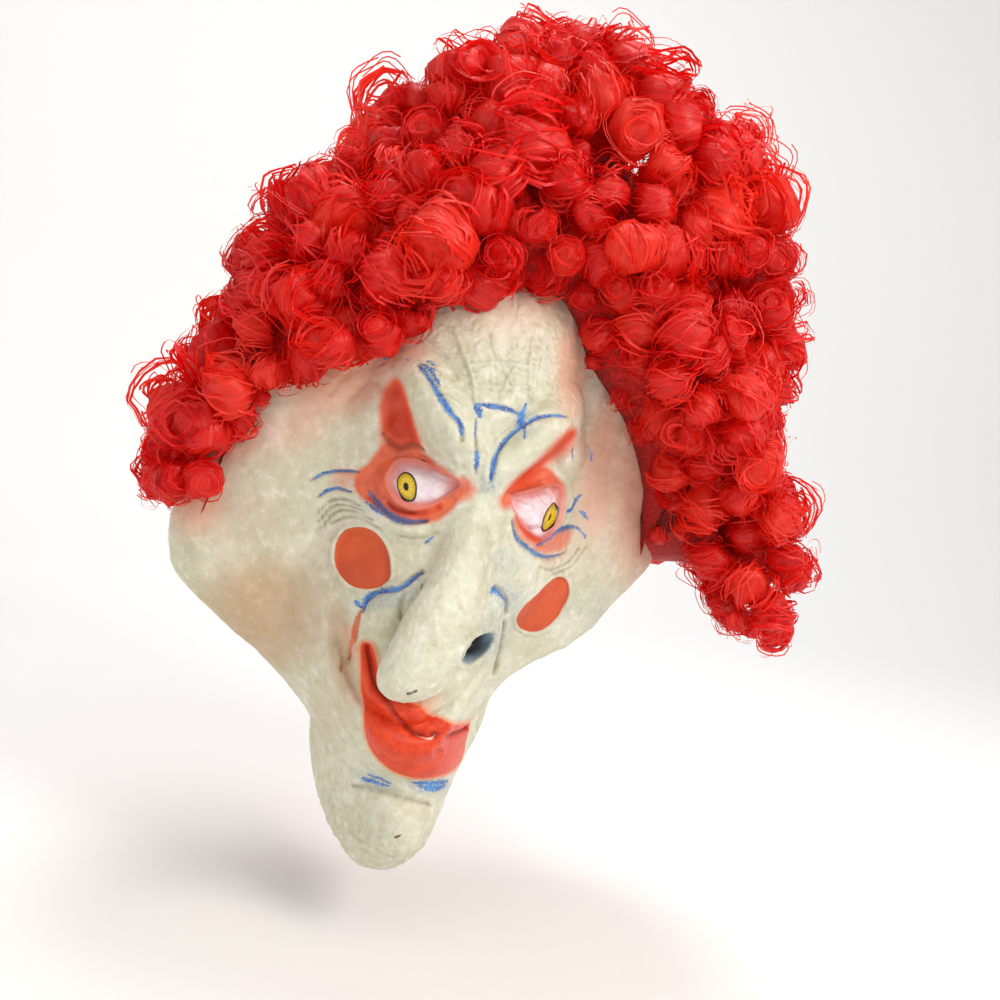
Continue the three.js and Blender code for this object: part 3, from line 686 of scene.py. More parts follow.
# %% Build the relief
relief = np.zeros(len(points))
for places in VEINS:
    relief += 1.6 * bell(stroke(places, 1.1, taper=0.4))
fold_depth = np.zeros(len(points))
for places, half_width, depth in FOLDS:
    fold_depth = np.maximum(fold_depth, depth * bell(stroke(places, half_width, taper=0.5)))
    relief += 0.3 * depth * bell(stroke(places, half_width * 2.6, taper=0.5))
relief -= 1.3 * fold_depth
front_side = visible & ~is_nose
for centre, half_length, half_width, tilt, rise in LOBES:
    u, v = ellipse(centre, half_length, half_width, tilt)
    relief += np.where(front_side, rise * rounded_bump(u, v), 0)

left_eye, right_eye = inside(LEFT_EYE), inside(RIGHT_EYE)
eye_inside = np.maximum(left_eye, right_eye)
relief += 2.6 * bell((eye_inside + 1.9) / 1.5)
relief += 0.9 * bell((eye_inside + 5.4) / 1.6)
relief -= 1.5 * bell((eye_inside + 3.7) / 0.8)
relief += np.where(eye_inside > 0, -2.2 * smooth(0, 1.2, eye_inside) + 4.2 * smooth(0.5, 9, eye_inside) ** 0.7, 0)

disc_distance = np.maximum(inside(DISC_LEFT), inside(DISC_RIGHT))
relief += 1.5 * bell((disc_distance + 0.9) / 0.9)
relief -= 1.1 * smooth(-0.2, 0.9, disc_distance)
relief += 1.0 * smooth(1.0, 9, disc_distance)

lips = inside(LIPS)
lip_line = stroke(LIP_LINE, 2.0, taper=0.3)
relief += 2.6 * smooth(-1.5, 5, lips) + 0.8 * bell((lips + 0.2) / 1.1)
relief -= 3.6 * bell(lip_line)
lip_glint = stroke(LIP_GLINT_LINE, 0.7, taper=0.7)
pucker_u, pucker_v = ellipse((434, 750), 6, 7, 0)
pucker = np.where(front_side, np.hypot(pucker_u, pucker_v), 9)
relief += 0.9 * bell((pucker - 1) / 0.35) - 1.0 * bell(pucker / 0.6)

u, v = ellipse(*NOSTRIL)
nostril = np.where(visible, np.hypot(u, v), 9)
relief += 2.0 * bell((nostril - 1.12) / 0.2)
relief -= 10 * smooth(0.98, 0.3, nostril)

def noise_at(scale, shift=0.0, octaves=3):
    """Smooth noise at every point, its features about scale millimetres wide."""
    return np.array([
        noise.fractal((x / scale + shift, y / scale, z / scale), 0.9, 2.0, octaves) for x, y, z in points
    ])


coarse_noise = noise_at(46)
middle_noise = noise_at(9, 7.0)
fine_noise = noise_at(3.4, 3.0)
folds_of_brow = (height + 2.6 * np.sin(across_face / 11) + 5.5 * middle_noise + 7 * coarse_noise) / 4.9
brow_zone = smooth(50, 62, height) * smooth(124, 108, height) * smooth(62, 44, np.abs(across_face - 4))
wave = np.sin(2 * math.pi * folds_of_brow)
relief += brow_zone * 0.48 * wave * smooth(-0.5, 0.4, middle_noise)
off_face = smooth(60, 110, np.abs(across_face)) + smooth(-20, 20, points[:, 1])
relief += 2.6 * coarse_noise * np.clip(off_face, 0, 1)
chin_zone = smooth(-214, -236, height)
calm = 1 - 0.85 * smooth(-1, 2, np.maximum(lips, eye_inside))
relief += calm * (fine_noise * (0.22 + 0.55 * chin_zone + 0.18 * is_nose) + 0.35 * middle_noise)
for row_height in (-240, -247, -254):
    relief -= 0.9 * bell((height - row_height + 2 * middle_noise) / 1.3) * smooth(34, 20, np.abs(across_face))

lid_band = bell((eye_inside + 3.5) / 3.5)
relief += lid_band * (relaxed(relief) - relief)

carved = points + outward * relief[:, None]
carved_normal = normals_of(carved)
hollow = relaxed(relaxed(relaxed(relief))) - relief
print("relief from", relief.min().round(2), "to", relief.max().round(2), "mm")

# %% [markdown]
# ## Paint
# On the real mask each colour was brushed or sprayed by hand. Every colour is stored here as a field
# on the points, a distance to its edge, and the material turns the field into paint with a sharp or
# a soft edge. That keeps a thin brush stroke crisp without any picture.

# %% Paint fields
INK = [
    (1.3, [(418, 365), (427, 375), (433, 385), (439, 397)]),
    (1.9, [(434, 386), (440, 397), (447, 408), (454, 416)]),
    (1.5, [(452, 414), (458, 421), (461, 427), (462, 436)]),
    (1.0, [(422, 364), (432, 373), (440, 387)]),
    (1.0, [(426, 360), (435, 365)]),
    (0.8, [(431, 369), (438, 372)]),
    (0.8, [(382, 359), (391, 358)]),
    (0.7, [(406, 359), (409, 361)]),
    (1.0, [(312, 480), (322, 474), (335, 471), (349, 471), (359, 472)]),
    (1.0, [(318, 497), (326, 491), (337, 488), (344, 490), (351, 492)]),
    (2.3, [(369, 491), (375, 500), (384, 510), (394, 517), (406, 521), (427, 521)]),
    (1.3, [(366, 502), (376, 510), (384, 515)]),
    (2.3, [(475, 405), (478, 410), (479, 417)]),
    (1.5, [(477, 405), (492, 406), (504, 408), (517, 413)]),
    (0.8, [(477, 418), (476, 432), (476, 440)]),
    (1.5, [(476, 450), (477, 461), (476, 470)]),
    (1.3, [(527, 402), (524, 409), (521, 415), (524, 424), (524, 441)]),
    (2.4, [(524, 410), (520, 421), (521, 427)]),
    (1.3, [(564, 417), (551, 416), (539, 417), (529, 422), (520, 428)]),
    (1.6, [(522, 426), (510, 435), (502, 444), (496, 454)]),
    (1.7, [(497, 452), (493, 466), (491, 481)]),
    (1.7, [(581, 495), (575, 501), (571, 508), (563, 515)]),
    (1.2, [(579, 511), (586, 515)]),
    (0.9, [(582, 514), (589, 520)]),
    (1.3, [(511, 521), (516, 536), (526, 546), (541, 556), (557, 556), (566, 552)]),
    (1.9, [(536, 546), (547, 538), (557, 531), (569, 527), (578, 528)]),
    (0.9, [(577, 527), (582, 532), (586, 539)]),
    (0.8, [(572, 446), (573, 462)]),
    (0.8, [(591, 450), (591, 462)]),
    (2.2, [(432, 573), (426, 572), (418, 575)]),
    (1.7, [(422, 573), (414, 578), (406, 585), (394, 589), (378, 592), (369, 598)]),
    (2.4, [(372, 594), (367, 602), (364, 611)]),
    (2.2, [(355, 601), (360, 605)]),
    (2.5, [(478, 605), (481, 598), (485, 592), (492, 589), (500, 592)]),
    (1.8, [(496, 590), (504, 599), (506, 609)]),
    (1.5, [(361, 778), (372, 781), (389, 786)]),
    (1.0, [(366, 774), (380, 778), (392, 784)]),
    (2.0, [(412, 782), (430, 783), (448, 781)]),
    (1.7, [(418, 786), (434, 788), (446, 785)]),
    (1.2, [(424, 790), (438, 790)]),
    (1.5, [(485, 564), (488, 569)]),
    (0.8, [(500, 556), (503, 563), (505, 569)]),
    (0.7, [(492, 570), (498, 571)]),
    (0.8, [(424, 544), (429, 540), (434, 536)]),
]
# Painted shade: soft dark strokes in the creases over and under the eyes, where shadow falls.
SHADES = [
    (2.2, [(383, 433), (391, 443), (400, 448), (410, 445), (423, 450)]),
    (1.8, [(388, 502), (396, 509), (415, 514)]),
    (1.8, [(507, 494), (524, 492), (541, 488), (553, 483)]),
]
BROWN = [
    (0.8, [(346, 660), (350, 655)]),
    (0.9, [(394, 838), (401, 835)]),
    (0.9, [(355, 600), (362, 608)]),
]
ORANGE_LINES = [
    (2.3, [(361, 611), (356, 626), (354, 638), (349, 656), (342, 666)]),
    (1.1, [(357, 616), (350, 642)]),
    (1.2, [(503, 630), (498, 655), (492, 676), (483, 700), (477, 712)]),
]
BRUSHED_RED = [
    (2.4, [(388, 502), (398, 511), (420, 514), (440, 507), (458, 492)]),
    (2.2, [(514, 516), (524, 531), (536, 540), (548, 537)]),
]


def drawn(lines, **options):
    field = np.full(len(points), 9.0)
    for radius, places in lines:
        field = np.minimum(field, stroke(places, radius, **options))
    return np.clip(1 - field / 2, 0, 1)


fields = {}
fields["ink"] = drawn(INK)
fields["brown"] = np.maximum(drawn(BROWN), drawn([(1.3, [(407, 694), (411, 693), (417, 691)])], nose=True))
shade = np.zeros(len(points))
for radius, places in SHADES:
    shade = np.maximum(shade, bell(stroke(places, radius, taper=0.7)))
fields["shade"] = shade
fields["orange_line"] = drawn(ORANGE_LINES)
fields["eye"] = np.clip(0.5 + eye_inside / 8, 0, 1)
fields["disc"] = np.clip(0.5 + disc_distance / 8, 0, 1)
fields["lips"] = np.clip(0.5 + lips / 8, 0, 1)
fields["lip_line"] = bell(lip_line) + 0.6 * bell(lip_glint)
# Painted highlight along the lips, with a dark line beside it.
fields["lip_glint"] = np.clip(1 - lip_glint / 2, 0, 1)
brow_red = np.maximum(inside(BROW_RED), inside(RIGHT_BROW_RED) + 1.0)
fields["red"] = np.maximum(np.clip(0.5 + brow_red / 14, 0, 1), 1.1 * drawn(BRUSHED_RED, taper=0.5))


def sprayed(*spots):
    """Soft round patches of airbrushed colour."""
    total = np.zeros(len(points))
    for centre, half_length, half_width, tilt, strength in spots:
        u, v = ellipse(centre, half_length, half_width, tilt)
        total = np.maximum(total, strength * np.exp(-(u * u + v * v) ** 1.3))
    return np.where(front_side, total, 0)


eye_red = np.maximum(inside(EYE_RED), inside(RIGHT_RED))
fields["blush"] = np.maximum.reduce([
    smooth(-4.5, 3.0, eye_red),
    0.62 * smooth(-4.0, 3.0, inside(RIGHT_BAG)),
    sprayed(
        ((396, 440), 20, 34, 10, 0.75), ((346, 478), 18, 16, 0, 0.5), ((462, 488), 16, 15, 0, 0.8), ((506, 501), 9, 12, 0, 0.8),
        ((352, 645), 7, 30, 14, 0.4), ((410, 706), 24, 10, -30, 0.6),
        ((566, 448), 14, 22, -40, 0.5), ((558, 555), 26, 12, 30, 0.35),
    ),
])
fields["peach"] = sprayed(
    ((338, 372), 66, 44, 30, 1.0), ((384, 352), 44, 22, 10, 1.0), ((300, 420), 50, 30, 40, 0.6),
    ((200, 505), 34, 26, 60, 0.8), ((240, 440), 40, 24, 50, 0.7), ((600, 470), 22, 80, -8, 1.0),
    ((640, 500), 40, 90, 0, 0.9), ((570, 370), 16, 60, 0, 0.8), ((520, 310), 60, 26, 0, 0.4),
    ((426, 700), 14, 26, -30, 0.9),
)
# Painted shade: soft tan patches darken the side of the face and hood turned from the light, and some folds.
fields["painted_shade_tan"] = sprayed(
    ((342, 655), 16, 62, 8, 1.0), ((330, 700), 26, 70, 0, 0.4), ((262, 616), 74, 66, 0, 1.0),
    ((230, 520), 60, 44, 0, 0.42), ((330, 580), 30, 60, 0, 0.3), ((470, 340), 90, 40, 0, 0.22),
    ((440, 560), 14, 40, -10, 0.3), ((398, 560), 30, 30, 0, 0.2),
)
# Pink paint at the corners of the eyes, and thin bands under the upper lids that are painted shade of the lids.
fields["eye_pink_and_lid_shade"] = sprayed(
    ((458, 484), 14, 14, 0, 1.0), ((396, 472), 12, 7, 40, 0.7), ((420, 464), 22, 4, -12, 0.7),
    ((514, 500), 8, 10, 0, 0.8), ((556, 488), 8, 8, 0, 1.0), ((533, 494), 24, 3.5, 12, 0.8),
)
# Blue-grey smudges of the paint; the broad one at the right of the hood is painted shade on that side.
blue_smudges_and_shade = sprayed(
    ((489, 486), 10, 9, 0, 0.85), ((486, 640), 26, 20, 40, 0.6), ((430, 786), 24, 9, 0, 0.9),
    ((376, 780), 20, 8, -20, 0.7), ((524, 420), 12, 15, 0, 0.5), ((500, 562), 22, 14, 0, 0.45),
    ((374, 503), 14, 12, -35, 0.5), ((545, 540), 24, 12, 20, 0.5), ((390, 598), 34, 10, 16, 0.7),
    ((508, 598), 20, 16, -50, 0.6), ((500, 620), 14, 30, 10, 0.4), ((592, 618), 40, 32, 0, 0.2),
)
fields["smudge_and_shade"] = blue_smudges_and_shade
# Grime in the wrinkles and painted shade: darker in the hollows and folds of the relief.
fields["grime_and_shade"] = np.clip(0.75 * hollow + 0.36 * fold_depth + 0.25 * middle_noise, 0, 1)
# Painted shade: the inside of the nostril is painted near black for the dark of the hole.
fields["nostril"] = smooth(0.95, 0.35, nostril)
fields["nostril_wall"] = smooth(1.05, 0.8, nostril)

left_side = seen_column < 480
lu, lv = ellipse((407, 487.5), 14.6, 10.4, 103)
ru, rv = ellipse((549.5, 517), 15.5, 8.0, 64)
iris = np.stack([np.where(left_side, lu, ru), np.where(left_side, lv, rv), np.zeros(len(points))], -1)
iris = np.where((eye_inside > -6)[:, None], iris, 9.0)
print("fields:", sorted(fields))

# %% [markdown]
# ## The skin as two closed shells
# The mask is one wall of latex, so both sides of it are made. The outside keeps every point, and the
# inside keeps every third line of the grid, moved in by the wall's thickness. Strips close the edge
# between them. The dense face and the plainer hood are two pieces that share their border.

# %% Walls
STRIDE = 3
deepest = relief.copy()
for _ in range(5):
    around = deepest.copy()
    np.minimum.at(around, edges[:, 0], deepest[edges[:, 1]])
    np.minimum.at(around, edges[:, 1], deepest[edges[:, 0]])
    deepest = around
inner_shape = points + outward * np.clip(deepest, -14, 1)[:, None]
inner_shape = inner_shape - normals_of(inner_shape) * WALL


def coarse_cells(chosen):
    r, c = row[chosen], column[chosen]
    keep = (r % STRIDE == 0) & (c % STRIDE == 0)
    r, c = r[keep], c[keep]
    return np.stack([spot(r, c), spot(r + STRIDE, c), spot(r + STRIDE, c + STRIDE), spot(r, c + STRIDE)], -1)


def outline_of(corners):
    """Directed edges of four-cornered cells that no neighbour shares."""
    pairs = np.concatenate([corners[:, [k, (k + 1) % 4]] for k in range(4)])
    known = set(map(tuple, pairs.tolist()))
    return [(a, b) for a, b in pairs.tolist() if (b, a) not in known]


def wall_strip(a, b):
    """Triangles between one coarse inside edge and the outside points along it."""
    (row_a, column_a), (row_b, column_b) = [((n - 1) // COLUMNS, (n - 1) % COLUMNS) for n in (a, b)]
    step_row = int(np.sign(row_b - row_a))
    step_column = 0 if column_a == column_b else (1 if (column_b - column_a) % COLUMNS == STRIDE else -1)
    outer = [1 + (row_a + k * step_row) * COLUMNS + (column_a + k * step_column) % COLUMNS for k in range(STRIDE + 1)]
    inside_a, inside_b = a + INNER, b + INNER
    made = [(outer[k + 1], outer[k], inside_a) for k in range(STRIDE)]
    return made + [(outer[-1], inside_a, inside_b)]


INNER = len(points)
nose_cells = coarse_cells(on_nose)
nose_outline = set(outline_of(nose_cells))


def shell(outside, corners, extra):
    inner_faces = [np.stack([corners[:, 0], corners[:, 2], corners[:, 1]], -1) + INNER,
                   np.stack([corners[:, 0], corners[:, 3], corners[:, 2]], -1) + INNER]
    strips = [face for a, b in outline_of(corners) if (b, a) not in nose_outline for face in wall_strip(a, b)]
    return np.concatenate([outside, *inner_faces, np.array(extra), np.array(strips)])


coarse_rings = [ring[::STRIDE] for ring in ring_numbers[::STRIDE]]
nose_inside = []
for before, after in zip(coarse_rings[:-1], coarse_rings[1:]):
    next_before, next_after = np.roll(before, -1), np.roll(after, -1)
    nose_inside += np.stack([before, next_after, after], -1).tolist()
    nose_inside += np.stack([before, next_before, next_after], -1).tolist()
end_ring = coarse_rings[-1]
nose_inside += np.stack([end_ring, np.roll(end_ring, -1), np.full_like(end_ring, tip)], -1).tolist()
coarse_first = spot(STRIDE, np.arange(0, COLUMNS, STRIDE))
crown_inside = np.stack([np.zeros_like(coarse_first), np.roll(coarse_first, -1), coarse_first], -1)

face_triangles = shell(face_sheet, coarse_cells(on_face & ~on_nose), np.array(nose_inside) + INNER)
hood_triangles = shell(hood_sheet, coarse_cells(~on_face), crown_inside + INNER)

all_points = np.concatenate([carved, inner_shape])
all_normals = np.concatenate([carved_normal, -normals_of(inner_shape)])


def new_mesh(name, triangles, places, normals, values):
    """A mesh of the points that its triangles use, with fields and the whole sheet's normals."""
    used, numbers = np.unique(triangles, return_inverse=True)
    triangles = numbers.reshape(-1, 3)
    mesh = bpy.data.meshes.new(name)
    mesh.vertices.add(len(used))
    mesh.vertices.foreach_set("co", (places[used] * MM).ravel())
    mesh.loops.add(triangles.size)
    mesh.loops.foreach_set("vertex_index", triangles.ravel())
    mesh.polygons.add(len(triangles))
    mesh.polygons.foreach_set("loop_start", np.arange(0, triangles.size, 3))
    mesh.update(calc_edges=True)
    mesh.validate()
    mesh.shade_smooth()
    for field, data in values.items():
        kind = "FLOAT_VECTOR" if data.ndim == 2 else "FLOAT"
        data = np.concatenate([data, np.zeros_like(data) + (9 if data.ndim == 2 else 0)])[used]
        attribute = mesh.attributes.new(field, kind, "POINT")
        attribute.data.foreach_set("vector" if data.ndim == 2 else "value", data.astype(np.float32).ravel())
    if normals is not None:
        mesh.normals_split_custom_set_from_vertices(normals[used].tolist())
    thing = bpy.data.objects.new(name, mesh)
    bpy.context.scene.collection.objects.link(thing)
    print(name, "points", len(used), "triangles", len(triangles))
    return thing


fields["iris"] = iris
face = new_mesh("latex_face", face_triangles, all_points, all_normals, fields)
hood = new_mesh("latex_hood", hood_triangles, all_points, all_normals,
                {name: fields[name] for name in ("peach", "painted_shade_tan", "grime_and_shade", "blush", "smudge_and_shade")})

# %% [markdown]
# ## Colours and nodes
# Colours are written as the hex values that a paint chart gives, and one function turns them into
# the linear light that the renderer works with. One more function adds a node with its settings.

# %% Helpers for materials


def linear(code):
    values = [int(code[k:k + 2], 16) / 255 for k in (1, 3, 5)]
    return (*[v / 12.92 if v <= 0.04045 else ((v + 0.055) / 1.055) ** 2.4 for v in values], 1.0)


def add_node(tree, kind, inputs=None, **settings):
    """A node of one kind; inputs are values or other nodes' sockets, by name or number."""
    node = tree.nodes.new(kind)
    for name, value in settings.items():
        setattr(node, name, value)
    for name, value in (inputs or {}).items():
        if isinstance(value, bpy.types.NodeSocket):
            tree.links.new(value, node.inputs[name])
        else:
            node.inputs[name].default_value = value
    return node


def new_material(name):
    material = bpy.data.materials.new(name)
    material.use_nodes = True
    material.node_tree.nodes.clear()
    return material, material.node_tree


def field_of(tree, name, vector=False):
    node = add_node(tree, "ShaderNodeAttribute", attribute_name=name)
    return node.outputs["Vector" if vector else "Fac"]


def calculate(tree, operation, first, second=0.5, third=0.5):
    node = add_node(tree, "ShaderNodeMath", operation=operation)
    for socket, value in zip(node.inputs, (first, second, third)):
        if isinstance(value, bpy.types.NodeSocket):
            tree.links.new(value, socket)
        else:
            socket.default_value = value
    return node.outputs[0]


def ramp(tree, value, low, high, to_low=0.0, to_high=1.0):
    """Value carried smoothly from one range to another."""
    node = add_node(tree, "ShaderNodeMapRange", {
        "Value": value, "From Min": low, "From Max": high, "To Min": to_low, "To Max": to_high,
    }, interpolation_type="SMOOTHSTEP")
    return node.outputs["Result"]


def mixed(tree, amount, under, over, blend="MIX"):
    node = add_node(tree, "ShaderNodeMix", data_type="RGBA", blend_type=blend)
    for socket, value in ((node.inputs[0], amount), (node.inputs[6], under), (node.inputs[7], over)):
        if isinstance(value, bpy.types.NodeSocket):
            tree.links.new(value, socket)
        elif isinstance(value, str):
            socket.default_value = linear(value)
        else:
            socket.default_value = value
    return node.outputs[2]


def noise_node(tree, place, millimetres, detail=4, roughness=0.55, distortion=0.0):
    """Noise whose features are about so many millimetres wide."""
    node = add_node(tree, "ShaderNodeTexNoise", {
        "Vector": place, "Scale": 1 / (millimetres * MM), "Detail": detail, "Roughness": roughness,
        "Distortion": distortion,
    })
    return node.outputs["Fac"]


# %% [markdown]
# ## Painted latex
# Moulded latex rubber, poured into a plaster mould, cured to a matt cream skin with a fine pitted
# grain, then brushed and sprayed with rubber paint. To the eye it is a soft sheen with no hard
# highlight, slightly mottled, with grime and painted shade in its hollows. The lips and the eyes have a glossier coat.

# %% Painted latex
latex, tree = new_material("moulded_latex_painted")
place = add_node(tree, "ShaderNodeTexCoord").outputs["Object"]
broad = noise_node(tree, place, 42, 3)
mottle = noise_node(tree, place, 7, 5, 0.65)
grain = noise_node(tree, place, 1.5, 4, 0.7)
edge_noise = noise_node(tree, place, 1.9, 4, 0.75)
speck = noise_node(tree, place, 0.9, 2, 0.5)
bristle = noise_node(tree, place, 0.7, 3, 0.8)

skin = mixed(tree, ramp(tree, broad, 0.35, 0.65), "#C9C8AE", "#D6D6C1")
skin = mixed(tree, ramp(tree, mottle, 0.5, 0.74, 0, 0.55), skin, "#B8AF8E")
skin = mixed(tree, ramp(tree, mottle, 0.5, 0.28, 0, 0.7), skin, "#ECE9DA")
skin = mixed(tree, ramp(tree, speck, 0.68, 0.74, 0, 0.35), skin, "#8E8468")
# Grime and painted shade: the hollows and folds of the latex are darkened.
grime_and_shade = calculate(tree, "MULTIPLY", field_of(tree, "grime_and_shade"), ramp(tree, mottle, 0.3, 0.7, 0.5, 1.1))
skin = mixed(tree, calculate(tree, "MULTIPLY", grime_and_shade, 0.8), skin, "#857F60")
# Painted shade in tan on the side turned from the light.
skin = mixed(tree, ramp(tree, field_of(tree, "painted_shade_tan"), 0.0, 1.0, 0, 0.6), skin, "#B07F4E")
skin = mixed(tree, ramp(tree, field_of(tree, "peach"), 0.0, 1.0, 0, 0.62), skin, "#E09A7C")
# Blue-grey smudges of the paint, and painted shade at the right of the hood.
smudge_and_shade = calculate(tree, "MULTIPLY", field_of(tree, "smudge_and_shade"), ramp(tree, edge_noise, 0.42, 0.62, 0.25, 1.0))
skin = mixed(tree, smudge_and_shade, skin, "#7E93A6")


def painted(under, field, colour, low, high, rough=0.16, strength=1.0):
    """Brushed paint: the field's edge, broken up by noise."""
    level = calculate(tree, "MULTIPLY_ADD", calculate(tree, "SUBTRACT", edge_noise, 0.5), rough, field)
    return mixed(tree, ramp(tree, level, low, high, 0, strength), under, colour)


red_tone = mixed(tree, ramp(tree, mottle, 0.35, 0.65), "#CC4622", "#E4602F")
blush_field = calculate(tree, "MULTIPLY_ADD", calculate(tree, "SUBTRACT", mottle, 0.5), 0.5, field_of(tree, "blush"))
skin = mixed(tree, ramp(tree, blush_field, 0.12, 0.85, 0, 0.92), skin, red_tone)
skin = mixed(tree, ramp(tree, field_of(tree, "red"), 0.36, 0.72, 0, 0.95), skin, "#DC4E28")
skin = mixed(tree, ramp(tree, field_of(tree, "red"), 0.62, 1.0, 0, 0.65), skin, "#B22A14")
lip_level = calculate(tree, "MULTIPLY_ADD", calculate(tree, "SUBTRACT", edge_noise, 0.5), 0.12, field_of(tree, "lips"))
lip_paint = ramp(tree, lip_level, 0.44, 0.6)
lip_colour = mixed(tree, ramp(tree, mottle, 0.35, 0.65), "#CE3416", "#E24A22")
lip_colour = mixed(tree, ramp(tree, field_of(tree, "lips"), 0.75, 0.45, 0, 0.6), lip_colour, "#EA6A38")
lip_colour = mixed(tree, ramp(tree, field_of(tree, "lip_line"), 0.15, 0.95, 0, 0.8), lip_colour, "#8E1A0E")
skin = mixed(tree, ramp(tree, field_of(tree, "lips"), 0.1, 0.5, 0, 0.75), skin, "#E58A5E")
skin = mixed(tree, lip_paint, skin, lip_colour)
# Painted highlight on the lips.
skin = mixed(tree, ramp(tree, field_of(tree, "lip_glint"), 0.5, 0.75, 0, 0.8), skin, "#EBD9C4")
disc_colour = mixed(tree, ramp(tree, broad, 0.35, 0.65), "#C24A22", "#D6592A")
# Painted shade: each cheek disc is darker just inside its rim, where the recess lies in shade.
disc_colour = mixed(tree, ramp(tree, field_of(tree, "disc"), 0.62, 0.5, 0, 0.45), disc_colour, "#9C2C16")
disc_paint = ramp(tree, field_of(tree, "disc"), 0.5, 0.56)
skin = mixed(tree, disc_paint, skin, disc_colour)
skin = painted(skin, field_of(tree, "orange_line"), "#D9643C", 0.45, 0.62, 0.5, 0.8)
# Painted shade in the creases round the eyes.
skin = mixed(tree, calculate(tree, "MULTIPLY", field_of(tree, "shade"), 0.62), skin, "#6E2818")
skin = painted(skin, field_of(tree, "brown"), "#4A2E26", 0.42, 0.62, 0.35, 0.85)
ink_colour = mixed(tree, ramp(tree, mottle, 0.38, 0.62), "#234F9E", "#4A8ED2")
ink_colour = mixed(tree, ramp(tree, field_of(tree, "blush"), 0.1, 0.6, 0, 0.8), ink_colour, "#4A5C7C")
bristles = calculate(tree, "ADD", calculate(tree, "SUBTRACT", edge_noise, 0.5), calculate(tree, "SUBTRACT", bristle, 0.5))
ink_level = calculate(tree, "MULTIPLY_ADD", bristles, 1.7, field_of(tree, "ink"))
skin = mixed(tree, ramp(tree, ink_level, 0.4, 0.7, 0, 0.94), skin, ink_colour)
skin = mixed(tree, ramp(tree, field_of(tree, "nostril_wall"), 0.0, 1.0, 0, 0.75), skin, "#6E8BA3")
# Painted shade: near black inside the nostril.
skin = mixed(tree, ramp(tree, field_of(tree, "nostril"), 0.1, 0.9), skin, "#17181C")

eye_white = mixed(tree, ramp(tree, mottle, 0.35, 0.65), "#DDCBD2", "#EFE3E8")
# Pink rim and corners of the eyes, with painted shade under the upper lids.
pink = calculate(tree, "MAXIMUM", ramp(tree, field_of(tree, "eye"), 0.9, 0.58, 0, 0.85), field_of(tree, "eye_pink_and_lid_shade"))
eye_white = mixed(tree, pink, eye_white, "#D57A70")
iris_place = add_node(tree, "ShaderNodeSeparateXYZ", {0: field_of(tree, "iris", vector=True)})
iris_radius = add_node(tree, "ShaderNodeVectorMath", {0: field_of(tree, "iris", vector=True)}, operation="LENGTH").outputs["Value"]
streak_angle = calculate(tree, "ARCTAN2", iris_place.outputs["Y"], iris_place.outputs["X"])
streaks = add_node(tree, "ShaderNodeTexNoise", {
    "Vector": add_node(tree, "ShaderNodeCombineXYZ", {"X": streak_angle, "Y": calculate(tree, "MULTIPLY", iris_radius, 0.35)}).outputs[0],
    "Scale": 7.0, "Detail": 2.0,
}).outputs["Fac"]
iris_colour = mixed(tree, ramp(tree, streaks, 0.38, 0.62), "#D9B51E", "#F0D43C")
iris_colour = mixed(tree, ramp(tree, iris_radius, 0.5, 0.8, 0, 0.45), iris_colour, "#8E8420")
iris_colour = mixed(tree, ramp(tree, iris_radius, 0.82, 0.92), iris_colour, "#1D1712")
iris_colour = mixed(tree, ramp(tree, iris_radius, 0.3, 0.22), iris_colour, "#120E0C")
eye_colour = mixed(tree, ramp(tree, iris_radius, 1.06, 0.98), eye_white, iris_colour)
eye_paint = ramp(tree, field_of(tree, "eye"), 0.5, 0.56)
lid_pink = calculate(tree, "MULTIPLY", ramp(tree, field_of(tree, "eye"), 0.18, 0.4), 0.75)
skin = mixed(tree, lid_pink, skin, "#DC8478")
skin = mixed(tree, eye_paint, skin, eye_colour)

gloss = calculate(tree, "MAXIMUM", calculate(tree, "MULTIPLY", lip_paint, 0.45), eye_paint)
rough = ramp(tree, gloss, 0, 1, 0.52, 0.28)
rough = calculate(tree, "MULTIPLY_ADD", calculate(tree, "SUBTRACT", mottle, 0.5), 0.12, rough)
pits = calculate(tree, "MULTIPLY_ADD", mottle, 0.7, calculate(tree, "MULTIPLY", grain, 0.3))
bump = add_node(tree, "ShaderNodeBump", {
    "Strength": 0.55, "Distance": 0.0009, "Height": calculate(tree, "MULTIPLY", pits, ramp(tree, gloss, 0, 1, 1.0, 0.15)),
})
shader = add_node(tree, "ShaderNodeBsdfPrincipled", {
    "Base Color": skin, "Roughness": rough, "Normal": bump.outputs[0], "IOR": 1.5,
    "Specular IOR Level": ramp(tree, lip_paint, 0, 1, 0.42, 0.28),
})
add_node(tree, "ShaderNodeOutputMaterial", {"Surface": shader.outputs[0]})
for piece in (face, hood):
    piece.data.materials.append(latex)
print("latex nodes:", len(tree.nodes))

# %% [markdown]
# ## Where the hair stands
# The wig is a deep bush of curls, tallest over the crown and fuller at the lower edge of one side.
# The same envelope as in the CAD model gives the height of the hair over every place of the hood.

# %% The envelope of the hair
HAIR_DEPTH, NAPE_HAIR_DROP, HAIR_SWEEP, HAIR_LEAN = 138, 95, 55, 34
HAIRLINE = table(["out", "right", "left"], [
    [0, 0.76, 0.76],
    [0.25, 0.63, 0.75],
    [0.4, 0.47, 0.56],
    [0.57, 0.41, 0.42],
    [0.72, 0.28, 0.27],
    [0.9, 0.03, 0.0],
    [1.0, -0.3, -0.3],
])
HAIR = table(["place", "height"], [
    [0.0, 1.0], [0.16, 0.92], [0.36, 0.72], [0.55, 0.56], [0.72, 0.48], [0.86, 0.44], [0.97, 0.36],
])


